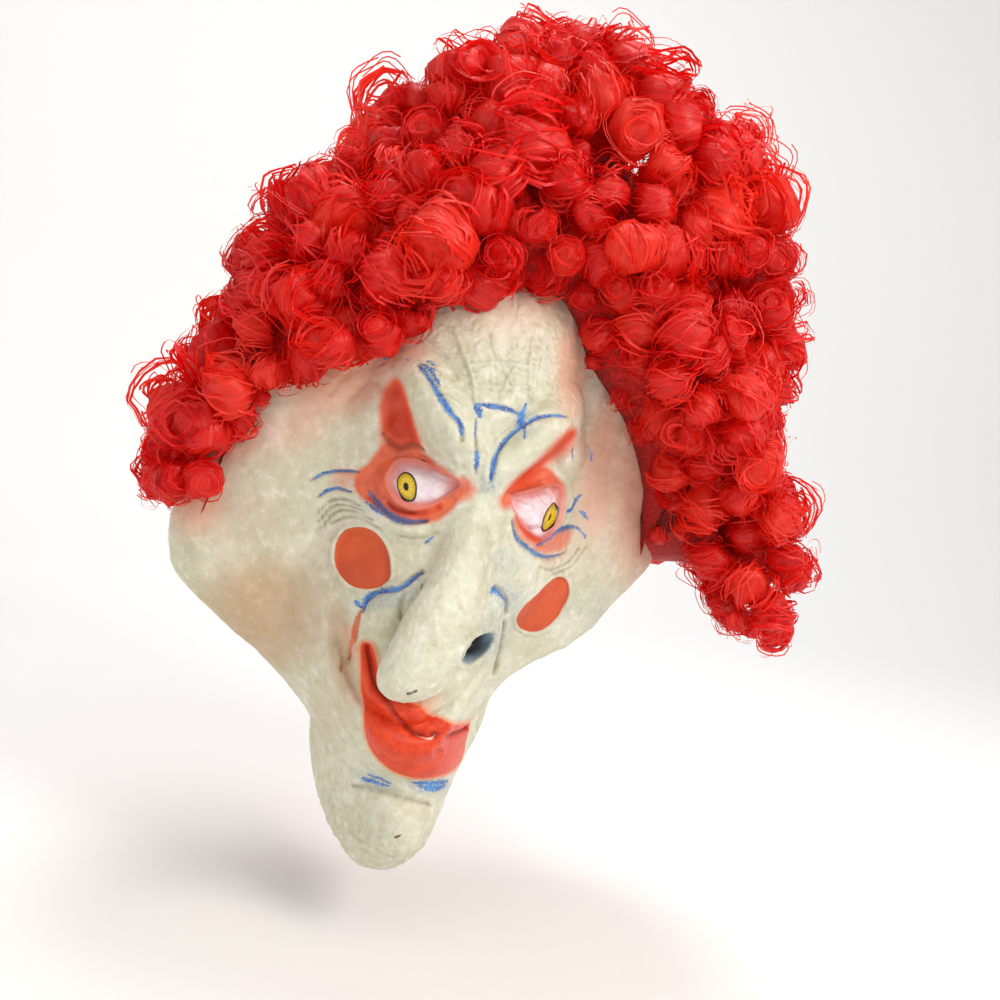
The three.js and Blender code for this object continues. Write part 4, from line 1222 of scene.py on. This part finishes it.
def hair_edge(turn):
    """Place, down the hood's rows, at which the hair ends."""
    forward = -np.sin(turn)
    low, high = np.zeros_like(turn), np.full_like(turn, LAST_PLACE)
    for _ in range(24):
        middle = (low + high) / 2
        point = mask_point(turn, middle)
        out = np.minimum(np.abs(point[..., 0]) / HOOD_HALF_WIDTH, 1)
        place = place_of(HAIRLINE["out"], out)
        line = np.where(point[..., 0] < 0, along(HAIRLINE["right"], place), along(HAIRLINE["left"], place))
        edge = -NAPE_HAIR_DROP + (height_of(line, CHIN_DROP) + NAPE_HAIR_DROP) * smooth(-0.35, 0.1, forward)
        above = point[..., 2] + CROWN_RISE - WALL > edge
        low, high = np.where(above, middle, low), np.where(above, high, middle)
    return (low + high) / 2


def hair_point(turn, share, lift):
    """A point in the hair and the way out of it: share runs from the crown to the hair's edge."""
    place = np.maximum(share, 0.002) * hair_edge(turn)
    here = mask_point(turn, place)
    around = mask_point(turn + 0.02, place) - mask_point(turn - 0.02, place)
    down = mask_point(turn, place + 0.02) - mask_point(turn, np.maximum(place - 0.02, 0))
    out = np.cross(down, around)
    out /= np.maximum(np.linalg.norm(out, axis=-1, keepdims=True), 1e-9)
    out = np.where((share < 0.01)[..., None], [0.0, 0.0, 1.0], out)
    here = here + out * lift[..., None]
    here[..., 0] += HAIR_LEAN * np.maximum(lift, 0) / HAIR_DEPTH
    return here, out


def hair_height(turn, share):
    full = HAIR_DEPTH * along(HAIR["height"], place_of(HAIR["place"], share))
    thinner = 1 - 0.62 * np.maximum(0, -np.cos(turn)) * smooth(0.02, 0.3, share) * smooth(1.05, 0.5, share)
    return full * thinner + HAIR_SWEEP * np.maximum(0, np.cos(turn)) * smooth(0.6, 1, share)


# Parts of the photograph where the hood shows and no curl may hang in front of it.
BARE_LEFT = [(100, 512), (172, 512), (196, 488), (222, 446), (262, 408), (330, 372), (420, 352), (470, 330), (470, 900), (100, 900)]
BARE_RIGHT = [(560, 330), (590, 420), (620, 470), (640, 520), (655, 565), (700, 606), (722, 655), (700, 900), (470, 900), (470, 330)]


# Parts of the photograph beyond the hood, where nothing is seen.
OPEN_LEFT = [(100, 508), (160, 508), (184, 500), (176, 530), (176, 560), (188, 596), (240, 650), (200, 760), (60, 760)]
OPEN_RIGHT = [
    (655, 568), (668, 563), (680, 557), (692, 563), (698, 590), (706, 614), (724, 634), (740, 646),
    (760, 646), (780, 800), (460, 800), (500, 684), (560, 640), (610, 600),
]


def in_outline(px, py, outline):
    crossings = np.zeros(len(px), int)
    for (x0, y0), (x1, y1) in zip(outline, outline[1:] + outline[:1]):
        if y0 != y1:
            crossings += ((y0 > py) != (y1 > py)) & (px < x0 + (py - y0) * (x1 - x0) / (y1 - y0))
    return crossings % 2 == 1


dice = np.random.default_rng(7)


mask_tree = BVHTree.FromPolygons([Vector(p) for p in points], sheet.tolist())


def shows(here):
    """True if the camera sees this place past the mask."""
    ray = here - eye_point
    reach = float(np.linalg.norm(ray))
    return mask_tree.ray_cast(Vector(eye_point), Vector(ray / reach), reach - 4)[0] is None


WIDEST_PLACE = 253  # no curl sits further towards +X, so the bush keeps the CAD model's width


def sticks_out(here, reach):
    """True if something this big, in millimetres, would be seen beyond the hood."""
    around = here + reach * np.array([
        math.cos(a) * camera_right + math.sin(a) * camera_up for a in np.linspace(0, 2 * math.pi, 9)
    ])
    px, py = photo_place(around)
    outside = in_outline(px, py, OPEN_LEFT) | in_outline(px, py, OPEN_RIGHT)
    return any(shows(spot_here) for spot_here in around[outside])


def hangs_over(here, reach):
    """True if something this big, in millimetres, would be seen against the bare hood."""
    around = here + reach * np.array([
        math.cos(a) * camera_right + math.sin(a) * camera_up for a in np.linspace(0, 2 * math.pi, 9)
    ])
    px, py = photo_place(around)
    return bool((in_outline(px, py, BARE_LEFT) | in_outline(px, py, BARE_RIGHT)).any())


def scattered(spacing, tries, taken, rim=False, near_edge=False, below=18.0, reach=13):
    """Places for curls, a spacing apart: under the hair's envelope, or on the rim where it ends."""
    turn = dice.uniform(-math.pi, math.pi, tries)
    full = dice.uniform(0, 1, tries)
    if rim:
        share = dice.uniform(0.84, 1.0, tries) if near_edge else dice.uniform(0.95, 1.0, tries)
        start = 2 if near_edge else 9
        lift = start + full * np.maximum(hair_height(turn, share) - below - start, 0)
    else:
        share = np.sqrt(full)
        crown_gain = 1 - 0.6 * smooth(0.62, 0.3, share)
        lift = hair_height(turn, share) - below * crown_gain * dice.uniform(0.85, 1.25, tries)
    place, out = hair_point(turn, share, np.maximum(lift, 1.5))
    px, py = photo_place(place)
    bare = in_outline(px, py, BARE_LEFT) | in_outline(px, py, BARE_RIGHT)
    seen_past = [shows(here) for here in place]
    keep = (lift > 1.5) & (place[:, 0] < WIDEST_PLACE) & ~np.array([
        (b and seen) or sticks_out(here, reach if seen else 32)
        for b, here, seen in zip(bare, place, seen_past)])
    if near_edge:
        keep &= np.array([k and (sticks_out(here, 30) or hangs_over(here, 17)) for k, here in zip(keep, place)])
    place, out, share = place[keep], out[keep], share[keep]
    spots, chosen = taken, []
    for k, here in enumerate(place):
        if len(spots) == 0 or ((spots - here) ** 2).sum(1).min() > spacing ** 2:
            spots = np.concatenate([spots, here[None]])
            chosen.append(k)
    if rim:
        out = out * 0.5 + np.array([0, -0.6, -0.6])
    return place[chosen], out[chosen], share[chosen], spots


outer_curls = scattered(24, 9000, np.zeros((0, 3)))
rim_curls = scattered(22, 5000, outer_curls[3], rim=True)
edge_curls = scattered(18, 6000, rim_curls[3], rim=True, near_edge=True, reach=9)
inner_curls = scattered(25, 6000, edge_curls[3], below=44.0)
print("curls outside", len(outer_curls[0]), "on the rim", len(rim_curls[0]), "at the edge", len(edge_curls[0]), "inside", len(inner_curls[0]))

# %% [markdown]
# ## One curl
# A curl of the wig is a lock of fibre that was wound on a rod and set by heat, so it has rolled up
# into a soft ball, like a rosette. A full ball, grooved round its own axis, gives it its body. Thin
# ribbons that lie on the ball, each a turn or so round the axis, give the strands that one can count,
# and a few wider ones stand off it as fuzz. A hair system would need a million strands for this.

# %% The node tree of a curl


def group_with(name, inputs):
    tree = bpy.data.node_groups.new(name, "GeometryNodeTree")
    sockets = {}
    for label, kind, value in inputs:
        socket = tree.interface.new_socket(label, in_out="INPUT", socket_type="NodeSocket" + kind)
        if value is not None:
            socket.default_value = value
        sockets[label] = socket.identifier
    tree.interface.new_socket("Geometry", in_out="OUTPUT", socket_type="NodeSocketGeometry")
    return tree, tree.nodes.new("NodeGroupInput").outputs, sockets


def vector_of(tree, x=0.0, y=0.0, z=0.0):
    return add_node(tree, "ShaderNodeCombineXYZ", {"X": x, "Y": y, "Z": z}).outputs[0]


def chance(tree, low, high, seed, number=None):
    """A steady random value for each element, or for each value of number."""
    node = add_node(tree, "FunctionNodeRandomValue", {2: low, 3: high, "Seed": seed}, data_type="FLOAT")
    if number is not None:
        tree.links.new(number, node.inputs["ID"])
    return node.outputs[1]


def shaken(tree, geometry, seed, scale, amount):
    """The geometry with smooth noise added to its places."""
    position = add_node(tree, "GeometryNodeInputPosition").outputs[0]
    shifted = add_node(tree, "ShaderNodeVectorMath", {0: position, 1: seed}, operation="ADD").outputs[0]
    cloud = add_node(tree, "ShaderNodeTexNoise", {"Vector": shifted, "Scale": scale, "Detail": 1.0}).outputs["Color"]
    centred = add_node(tree, "ShaderNodeVectorMath", {0: cloud, 1: (0.5, 0.5, 0.5)}, operation="SUBTRACT").outputs[0]
    offset = add_node(tree, "ShaderNodeVectorMath", {0: centred, "Scale": amount}, operation="SCALE").outputs[0]
    return add_node(tree, "GeometryNodeSetPosition", {"Geometry": geometry, "Offset": offset}).outputs[0]


def stored(tree, geometry, name, value, kind="FLOAT", domain="POINT"):
    return add_node(tree, "GeometryNodeStoreNamedAttribute", {"Geometry": geometry, "Name": name, "Value": value},
                    data_type=kind, domain=domain).outputs[0]


def strands(tree, given, count, low, high, width, shake, seed, points_a_turn):
    """Ribbons round the ball: each keeps its own place between the two ends of the axis."""
    radius = given["Ball Radius"]
    turn = add_node(tree, "GeometryNodeCurveSpiral", {
        "Resolution": points_a_turn, "Rotations": given["Turns"], "Start Radius": 0.86, "End Radius": 1.0, "Height": 0.1,
    }).outputs[0]
    tilt_seed = calculate(tree, "MULTIPLY_ADD", given["Seed"], 1.0, float(seed))
    polar = chance(tree, 0.35, 2.8, tilt_seed)
    off = chance(tree, low, high, calculate(tree, "ADD", tilt_seed, 1.0))
    reach = calculate(tree, "MULTIPLY", radius, off)
    height = calculate(tree, "MULTIPLY", calculate(tree, "COSINE", polar), reach)
    wide = calculate(tree, "MULTIPLY", calculate(tree, "SINE", polar), reach)
    seats = add_node(tree, "GeometryNodePoints", {"Count": count, "Position": vector_of(tree, z=height)}).outputs[0]
    spin = vector_of(tree, chance(tree, -0.8, 0.8, seed + 2), chance(tree, -0.8, 0.8, seed + 3), chance(tree, 0.0, 6.28, seed + 4))
    curves = add_node(tree, "GeometryNodeInstanceOnPoints", {
        "Points": seats, "Instance": turn, "Rotation": spin, "Scale": vector_of(tree, wide, wide, reach),
    }).outputs[0]
    curves = add_node(tree, "GeometryNodeRealizeInstances", {"Geometry": curves}).outputs[0]
    curves = shaken(tree, curves, vector_of(tree, given["Seed"], given["Seed"]), 50.0, shake)
    number = add_node(tree, "GeometryNodeCurveOfPoint").outputs["Curve Index"]
    lie = calculate(tree, "ADD", chance(tree, 0.35, 2.8, tilt_seed, number), chance(tree, -0.5, 0.5, seed + 6, number))
    curves = add_node(tree, "GeometryNodeSetCurveNormal", {"Curve": curves}).outputs[0]
    curves.node.mode = "Z_UP"
    curves = add_node(tree, "GeometryNodeSetCurveTilt", {"Curve": curves, "Tilt": lie}).outputs[0]
    parameter = add_node(tree, "GeometryNodeSplineParameter").outputs
    curves = stored(tree, curves, "along", parameter["Length"])
    taper = calculate(tree, "POWER", calculate(tree, "SINE", calculate(tree, "MULTIPLY", parameter["Factor"], 3.1)), 0.5)
    curves = add_node(tree, "GeometryNodeSetCurveRadius", {"Curve": curves, "Radius": calculate(tree, "MAXIMUM", taper, 0.3)}).outputs[0]
    strip = add_node(tree, "GeometryNodeCurvePrimitiveLine", {"Start": (-width, 0, 0), "End": (width, 0, 0)}).outputs[0]
    strip = stored(tree, strip, "around", add_node(tree, "GeometryNodeInputPosition").outputs[0], "FLOAT_VECTOR")
    return add_node(tree, "GeometryNodeCurveToMesh", {"Curve": curves, "Profile Curve": strip}).outputs[0]


curl_tree, given, _ = group_with("one_curl", [
    ("Seed", "Float", 0.0), ("Ball Radius", "Float", 0.016), ("Turns", "Float", 1.15),
    ("Strands", "Int", 18), ("Fuzz", "Int", 5),
])
ball = add_node(curl_tree, "GeometryNodeMeshUVSphere", {
    "Segments": 14, "Rings": 9, "Radius": calculate(curl_tree, "MULTIPLY", given["Ball Radius"], 0.82),
}).outputs[0]
where = add_node(curl_tree, "ShaderNodeSeparateXYZ", {0: add_node(curl_tree, "GeometryNodeInputPosition").outputs[0]}).outputs
from_axis = calculate(curl_tree, "SQRT", calculate(curl_tree, "MULTIPLY_ADD", where["X"], where["X"], calculate(curl_tree, "MULTIPLY", where["Y"], where["Y"])))
ball = stored(curl_tree, ball, "around", vector_of(curl_tree, from_axis, where["Z"]), "FLOAT_VECTOR")
ball = stored(curl_tree, ball, "along", calculate(curl_tree, "MULTIPLY", calculate(curl_tree, "ARCTAN2", where["Y"], where["X"]), from_axis))
ball = shaken(curl_tree, ball, vector_of(curl_tree, given["Seed"]), 60.0, 0.018)
join = add_node(curl_tree, "GeometryNodeJoinGeometry")
curl_tree.links.new(strands(curl_tree, given, given["Fuzz"], 1.06, 1.3, 0.0003, 0.009, 40, 22), join.inputs[0])
curl_tree.links.new(strands(curl_tree, given, given["Strands"], 0.84, 1.16, 0.0006, 0.011, 20, 16), join.inputs[0])
curl_tree.links.new(ball, join.inputs[0])
curl_tree.links.new(join.outputs[0], curl_tree.nodes.new("NodeGroupOutput").inputs[0])

# %% [markdown]
# ## Fibre
# Wig hair is acrylic fibre, drawn thin, dyed through and set in curls. Each fibre is smooth, so a
# lock glints along its turns, while light that enters it comes out again a deeper red. The fibres
# are drawn about 0.6 mm wide, coarser than real ones, which is the least that shows in the picture.
# A faint red glow of the fibre is painted light that lifts the shade between the curls.

# %% Acrylic wig fibre


def fibre_material(name, dark, plain, bright, roughness):
    material, tree = new_material(name)
    section = add_node(tree, "ShaderNodeSeparateXYZ", {0: field_of(tree, "around", vector=True)}).outputs
    strand = add_node(tree, "ShaderNodeCombineXYZ", {
        "X": section["X"], "Y": section["Y"], "Z": calculate(tree, "MULTIPLY", field_of(tree, "along"), 0.035),
    }).outputs[0]
    tone = field_of(tree, "tone")
    shifted = add_node(tree, "ShaderNodeVectorMath", {0: strand, 1: add_node(tree, "ShaderNodeCombineXYZ", {"X": tone, "Y": tone}).outputs[0]}, operation="ADD").outputs[0]
    fibres = noise_node(tree, shifted, 0.9, 3, 0.6)
    locks = noise_node(tree, shifted, 3.2, 2, 0.5)
    colour = mixed(tree, ramp(tree, fibres, 0.36, 0.62), dark, plain)
    colour = mixed(tree, ramp(tree, locks, 0.5, 0.72, 0, 0.75), colour, bright)
    # Low tones darken the fibre: random variation, and painted shade on the curls deep inside the bush.
    colour = mixed(tree, ramp(tree, tone, 0.0, 0.45, 0.62, 0.0), colour, dark)
    colour = mixed(tree, ramp(tree, tone, 0.72, 1.0, 0, 0.55), colour, bright)
    bump = add_node(tree, "ShaderNodeBump", {"Strength": 0.9, "Distance": 0.0012, "Height": calculate(tree, "MULTIPLY_ADD", fibres, 0.6, locks)})
    shader = add_node(tree, "ShaderNodeBsdfPrincipled", {
        "Base Color": colour, "Roughness": roughness, "Normal": bump.outputs[0], "IOR": 1.5,
        "Sheen Weight": 0.12, "Sheen Roughness": 0.45, "Sheen Tint": linear("#FF5A3C"),
        # Painted light: a faint red glow that lifts the fibre's shade.
        "Emission Color": linear("#FF0A04"), "Emission Strength": 0.03,
    })
    through = add_node(tree, "ShaderNodeBsdfTranslucent", {"Color": colour, "Normal": bump.outputs[0]})
    both = add_node(tree, "ShaderNodeMixShader", {0: 0.3, 1: shader.outputs[0], 2: through.outputs[0]})
    add_node(tree, "ShaderNodeOutputMaterial", {"Surface": both.outputs[0]})
    return material


red_fibre = fibre_material("acrylic_wig_fibre_red", "#D40503", "#F2120A", "#FF4228", 0.38)

# %% [markdown]
# ## Curls by the hundred
# A few curls of different size and winding are made once, and Geometry Nodes set one of them on
# every place of the bush, turned and scaled by chance from a fixed seed.

# %% Scatter the curls
KINDS = [
    # seed, ball radius, turns, strands, fuzz
    (1.0, 0.0165, 1.15, 21, 5),
    (4.0, 0.0150, 1.30, 19, 5),
    (7.0, 0.0180, 1.05, 23, 5),
    (12.0, 0.0160, 1.45, 17, 6),
    (17.0, 0.0145, 1.20, 20, 5),
    (23.0, 0.0172, 1.25, 20, 5),
    (37.0, 0.0165, 1.20, 13, 4),
    (41.0, 0.0170, 1.10, 12, 3),
    (29.0, 0.0170, 1.10, 8, 1),
    (31.0, 0.0160, 1.20, 9, 1),
]
RICH_KINDS, SMALL_KINDS = 6, 2  # the others, plain, are for the hair inside
scatter_tree, given, scatter_sockets = group_with("scattered_curls", [
    ("Geometry", "Geometry", None), ("Size", "Float", 1.0), ("Seed", "Int", 0), ("Fibre", "Material", None),
])
kinds = add_node(scatter_tree, "GeometryNodeJoinGeometry")
for kind in reversed(KINDS):
    one = add_node(scatter_tree, "GeometryNodeGroup", node_tree=curl_tree)
    for label, value in zip(("Seed", "Ball Radius", "Turns", "Strands", "Fuzz"), kind):
        one.inputs[label].default_value = value
    stretched = add_node(scatter_tree, "GeometryNodeTransform", {"Geometry": one.outputs[0], "Scale": (1, 1, 0.8 + 0.09 * (kind[0] % 5))}).outputs[0]
    single = add_node(scatter_tree, "GeometryNodeGeometryToInstance", {0: stretched}).outputs[0]
    scatter_tree.links.new(single, kinds.inputs[0])
axis = add_node(scatter_tree, "GeometryNodeInputNamedAttribute", {"Name": "axis"}, data_type="FLOAT_VECTOR").outputs[0]
own_size = add_node(scatter_tree, "GeometryNodeInputNamedAttribute", {"Name": "size"}, data_type="FLOAT").outputs[0]
aimed = add_node(scatter_tree, "FunctionNodeAlignRotationToVector", {"Vector": axis}, axis="Z").outputs[0]
roll = add_node(scatter_tree, "FunctionNodeRandomValue", {"Seed": given["Seed"]}, data_type="FLOAT_VECTOR")
roll.inputs[0].default_value = (-1.5, -1.5, 0)
roll.inputs[1].default_value = (1.5, 1.5, 6.28)
rolled = add_node(scatter_tree, "FunctionNodeRotateRotation", {"Rotation": aimed, "Rotate By": roll.outputs[0]}, rotation_space="LOCAL").outputs[0]
pick = add_node(scatter_tree, "GeometryNodeInputNamedAttribute", {"Name": "kind"}, data_type="FLOAT").outputs[0]
curls = add_node(scatter_tree, "GeometryNodeInstanceOnPoints", {
    "Points": add_node(scatter_tree, "GeometryNodeMeshToPoints", {"Mesh": given["Geometry"]}).outputs[0],
    "Instance": kinds.outputs[0], "Pick Instance": True, "Instance Index": pick, "Rotation": rolled,
    "Scale": calculate(scatter_tree, "MULTIPLY", own_size, given["Size"]),
}).outputs[0]
curls = stored(scatter_tree, curls, "tone", add_node(scatter_tree, "GeometryNodeInputNamedAttribute", {"Name": "tone"}, data_type="FLOAT").outputs[0], domain="INSTANCE")
curls = add_node(scatter_tree, "GeometryNodeRealizeInstances", {"Geometry": curls}).outputs[0]
curls = add_node(scatter_tree, "GeometryNodeSetShadeSmooth", {"Geometry": curls}).outputs[0]
curls = add_node(scatter_tree, "GeometryNodeSetMaterial", {"Geometry": curls, "Material": given["Fibre"]}).outputs[0]
scatter_tree.links.new(curls, scatter_tree.nodes.new("NodeGroupOutput").inputs[0])


def points_object(name, places, **values):
    mesh = bpy.data.meshes.new(name)
    mesh.from_pydata((places * MM).tolist(), [], [])
    for field, data in values.items():
        kind = "FLOAT_VECTOR" if data.ndim == 2 else "FLOAT"
        attribute = mesh.attributes.new(field, kind, "POINT")
        attribute.data.foreach_set("vector" if data.ndim == 2 else "value", data.astype(np.float32).ravel())
    thing = bpy.data.objects.new(name, mesh)
    bpy.context.scene.collection.objects.link(thing)
    return thing


def grown(thing, tree, sockets, **values):
    """Runs a node tree on an object once and keeps the result as a plain mesh."""
    modifier = thing.modifiers.new("grow", "NODES")
    modifier.node_group = tree
    for label, value in values.items():
        modifier[sockets[label.replace("_", " ")]] = value
    graph = bpy.context.evaluated_depsgraph_get()
    graph.update()
    made = bpy.data.meshes.new_from_object(thing.evaluated_get(graph), preserve_all_data_layers=True, depsgraph=graph)
    thing.modifiers.clear()
    thing.data = made
    made.name = thing.name
    print(thing.name, "triangles", sum(len(p.vertices) - 2 for p in made.polygons))
    return thing


places, outs, shares = (np.concatenate([layer[k] for layer in (outer_curls, rim_curls, edge_curls, inner_curls)]) for k in range(3))
is_inner = np.arange(len(places)) >= len(places) - len(inner_curls[0])
sizes = (0.8 + 0.62 * dice.uniform(0, 1, len(places)) ** 2) * np.interp(shares, [0.7, 1.0], [1.08, 0.86])
is_edge = (np.arange(len(places)) >= len(outer_curls[0]) + len(rim_curls[0])) & ~is_inner
sizes = np.where(is_edge, 0.62 * sizes, sizes)
# Curls deep inside get low tones, which the fibre darkens as painted shade; the others vary at random.
tones = np.where(is_inner, dice.uniform(0.0, 0.35, len(places)), dice.uniform(0.25, 1.0, len(places)))
first_kind = np.where(is_inner, RICH_KINDS + SMALL_KINDS, np.where(is_edge, RICH_KINDS, 0))
last_kind = np.where(is_inner, len(KINDS), np.where(is_edge, RICH_KINDS + SMALL_KINDS, RICH_KINDS))
kinds_of_curls = dice.integers(first_kind, last_kind)
WIG_SECTORS = 5
order = np.argsort(np.arctan2(places[:, 1], places[:, 0] - 20))
wig_pieces = []
for number in range(WIG_SECTORS):
    chosen = np.array_split(order, WIG_SECTORS)[number]
    name = f"wig_curls_{number + 1}"
    thing = points_object(name, places[chosen], axis=outs[chosen], size=sizes[chosen], tone=tones[chosen],
                          kind=kinds_of_curls[chosen].astype(float))
    wig_pieces.append(grown(thing, scatter_tree, scatter_sockets, Seed=number, Fibre=red_fibre))

# %% [markdown]
# ## The inner hair
# Between the curls the eye meets more hair, packed and in shade. One lumpy layer, well below the
# envelope, stands for it and closes the bush down to the hood; its deeper red is painted shade.

# %% Packed hair under the curls
SHELL_COLUMNS, SHELL_ROWS = 96, 40
shell_turn, shell_share = np.meshgrid(
    np.linspace(-math.pi, math.pi, SHELL_COLUMNS, endpoint=False), np.linspace(0, 1, SHELL_ROWS + 1)[1:], indexing="ij")
shell_lift = np.maximum(hair_height(shell_turn, shell_share) * 0.6 - 16, 4) * smooth(1.06, 0.94, shell_share) + 1.5
upper, _ = hair_point(shell_turn, shell_share, shell_lift)
bare = np.array([
    sticks_out(here, 24) or (shows(here) and hangs_over(here, 22)) for here in upper.reshape(-1, 3)
]).reshape(shell_lift.shape)
sunk = np.where(bare, -4.0, shell_lift)
for _ in range(3):
    sunk = (sunk + np.roll(sunk, 1, 0) + np.roll(sunk, -1, 0)) / 3
sunk = np.where(bare, np.minimum(sunk, -1.0), sunk)
upper, _ = hair_point(shell_turn, shell_share, sunk)
lower, _ = hair_point(shell_turn, shell_share, np.minimum(0.8, sunk - 0.4))
flat = upper.reshape(-1, 3)
lumps = np.array([noise.noise((x / 17, y / 17, z / 17)) for x, y, z in flat]).reshape(sunk.shape)
upper, _ = hair_point(shell_turn, shell_share, sunk + 11 * lumps * np.clip(sunk / 30, 0, 1))
skin_tree = BVHTree.FromPolygons([Vector(p) for p in carved], sheet.tolist())
for index in zip(*np.where(sunk < 0)):
    on_skin, way_out = skin_tree.find_nearest(Vector(upper[index]))[:2]
    upper[index], lower[index] = on_skin - way_out * 0.7, on_skin - way_out * 1.3
top, _ = hair_point(np.zeros(1), np.zeros(1), np.array([sunk[:, 0].mean()]))
foot, _ = hair_point(np.zeros(1), np.zeros(1), np.array([0.8]))
shell_points = np.concatenate([upper.reshape(-1, 3), lower.reshape(-1, 3), top, foot])
number = np.arange(SHELL_COLUMNS * SHELL_ROWS).reshape(SHELL_COLUMNS, SHELL_ROWS)
turned_number = np.roll(number, -1, axis=0)
under = number.size
faces = []
for column_numbers, next_numbers in zip(number.tolist(), turned_number.tolist()):
    faces.append((2 * under, column_numbers[0], next_numbers[0]))
    faces.append((2 * under + 1, next_numbers[0] + under, column_numbers[0] + under))
    for k in range(SHELL_ROWS - 1):
        a, b, c, d = column_numbers[k], column_numbers[k + 1], next_numbers[k + 1], next_numbers[k]
        faces += [(a, b, c, d), (a + under, d + under, c + under, b + under)]
    faces.append((column_numbers[-1], column_numbers[-1] + under, next_numbers[-1] + under, next_numbers[-1]))
mesh = bpy.data.meshes.new("packed_hair")
mesh.from_pydata((shell_points * MM).tolist(), [], faces)
mesh.update()
mesh.shade_smooth()
packed = bpy.data.objects.new("packed_hair", mesh)
bpy.context.scene.collection.objects.link(packed)
deep_fibre, tree = new_material("acrylic_wig_fibre_packed")
place = add_node(tree, "ShaderNodeTexCoord").outputs["Object"]
tangle = noise_node(tree, place, 6, 5, 0.6, 3.0)
# Painted shade: the packed hair is a deeper red than the curls.
colour = mixed(tree, ramp(tree, tangle, 0.35, 0.7), "#B80604", "#E41009")
bump = add_node(tree, "ShaderNodeBump", {"Strength": 1.0, "Distance": 0.004, "Height": tangle})
shader = add_node(tree, "ShaderNodeBsdfPrincipled", {"Base Color": colour, "Roughness": 0.55, "Normal": bump.outputs[0]})
add_node(tree, "ShaderNodeOutputMaterial", {"Surface": shader.outputs[0]})
mesh.materials.append(deep_fibre)
wig_pieces.append(packed)

# %% [markdown]
# ## Floor and light
# The mask hangs free, held at its crown, over a plain pale floor. Broad area lights from the front
# left, the right and above give the even light of a room with big windows.

# %% Floor, world and lights
FLOOR_HEIGHT = -0.47
mesh = bpy.data.meshes.new("floor")
reach, rise, bend = 3.0, 2.6, 0.5
profile = [(-reach, 0)] + [(1.1 + bend * math.sin(a), bend - bend * math.cos(a)) for a in np.linspace(0, math.pi / 2, 10)]
profile.append((1.1 + bend, rise))
verts = [(side * reach, y, FLOOR_HEIGHT + z) for y, z in profile for side in (-1, 1)]
mesh.from_pydata(verts, [], [(2 * k, 2 * k + 1, 2 * k + 3, 2 * k + 2) for k in range(len(profile) - 1)])
mesh.update()
mesh.shade_smooth()
floor = bpy.data.objects.new("floor", mesh)
bpy.context.scene.collection.objects.link(floor)
pale, tree = new_material("matt_pale_floor")
shader = add_node(tree, "ShaderNodeBsdfPrincipled", {"Base Color": linear("#F4F3F1"), "Roughness": 0.9})
add_node(tree, "ShaderNodeOutputMaterial", {"Surface": shader.outputs[0]})
mesh.materials.append(pale)

world = bpy.data.worlds.new("soft_room")
bpy.context.scene.world = world
world.use_nodes = True
world.node_tree.nodes["Background"].inputs[0].default_value = linear("#F3F5F8")
world.node_tree.nodes["Background"].inputs[1].default_value = 0.76


def area_light(name, place, aim, size, power, colour="#FFFFFF"):
    data = bpy.data.lights.new(name, "AREA")
    data.shape = "DISK"
    data.size = size
    data.energy = power
    data.color = linear(colour)[:3]
    lamp = bpy.data.objects.new(name, data)
    bpy.context.scene.collection.objects.link(lamp)
    lamp.matrix_world = Matrix.Translation(place) @ (Vector(aim) - Vector(place)).to_track_quat("-Z", "Y").to_matrix().to_4x4()
    return lamp


area_light("key", (0.75, -1.15, 0.85), (0, -0.05, -0.12), 0.8, 16.5, "#FFF8F0")
area_light("fill", (-1.4, -0.9, 0.35), (0, 0, -0.15), 1.2, 2.6, "#FFE2C4")
area_light("top", (0.1, 0.3, 1.4), (0, 0, -0.1), 0.9, 13)
bpy.context.scene.view_settings.view_transform = "Standard"
bpy.context.scene.view_settings.look = "None"

# %% [markdown]
# ## Hand the pieces over
# Each piece is hung under the root body, and the CAD solid that it stands for is hidden.

# %% Attach the pieces and finish
for piece in (face, hood):
    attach(piece, "root")
    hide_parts("latex_mask")
for piece in wig_pieces:
    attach(piece, "root")
    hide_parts("curly_wig")

bpy.context.view_layer.update()
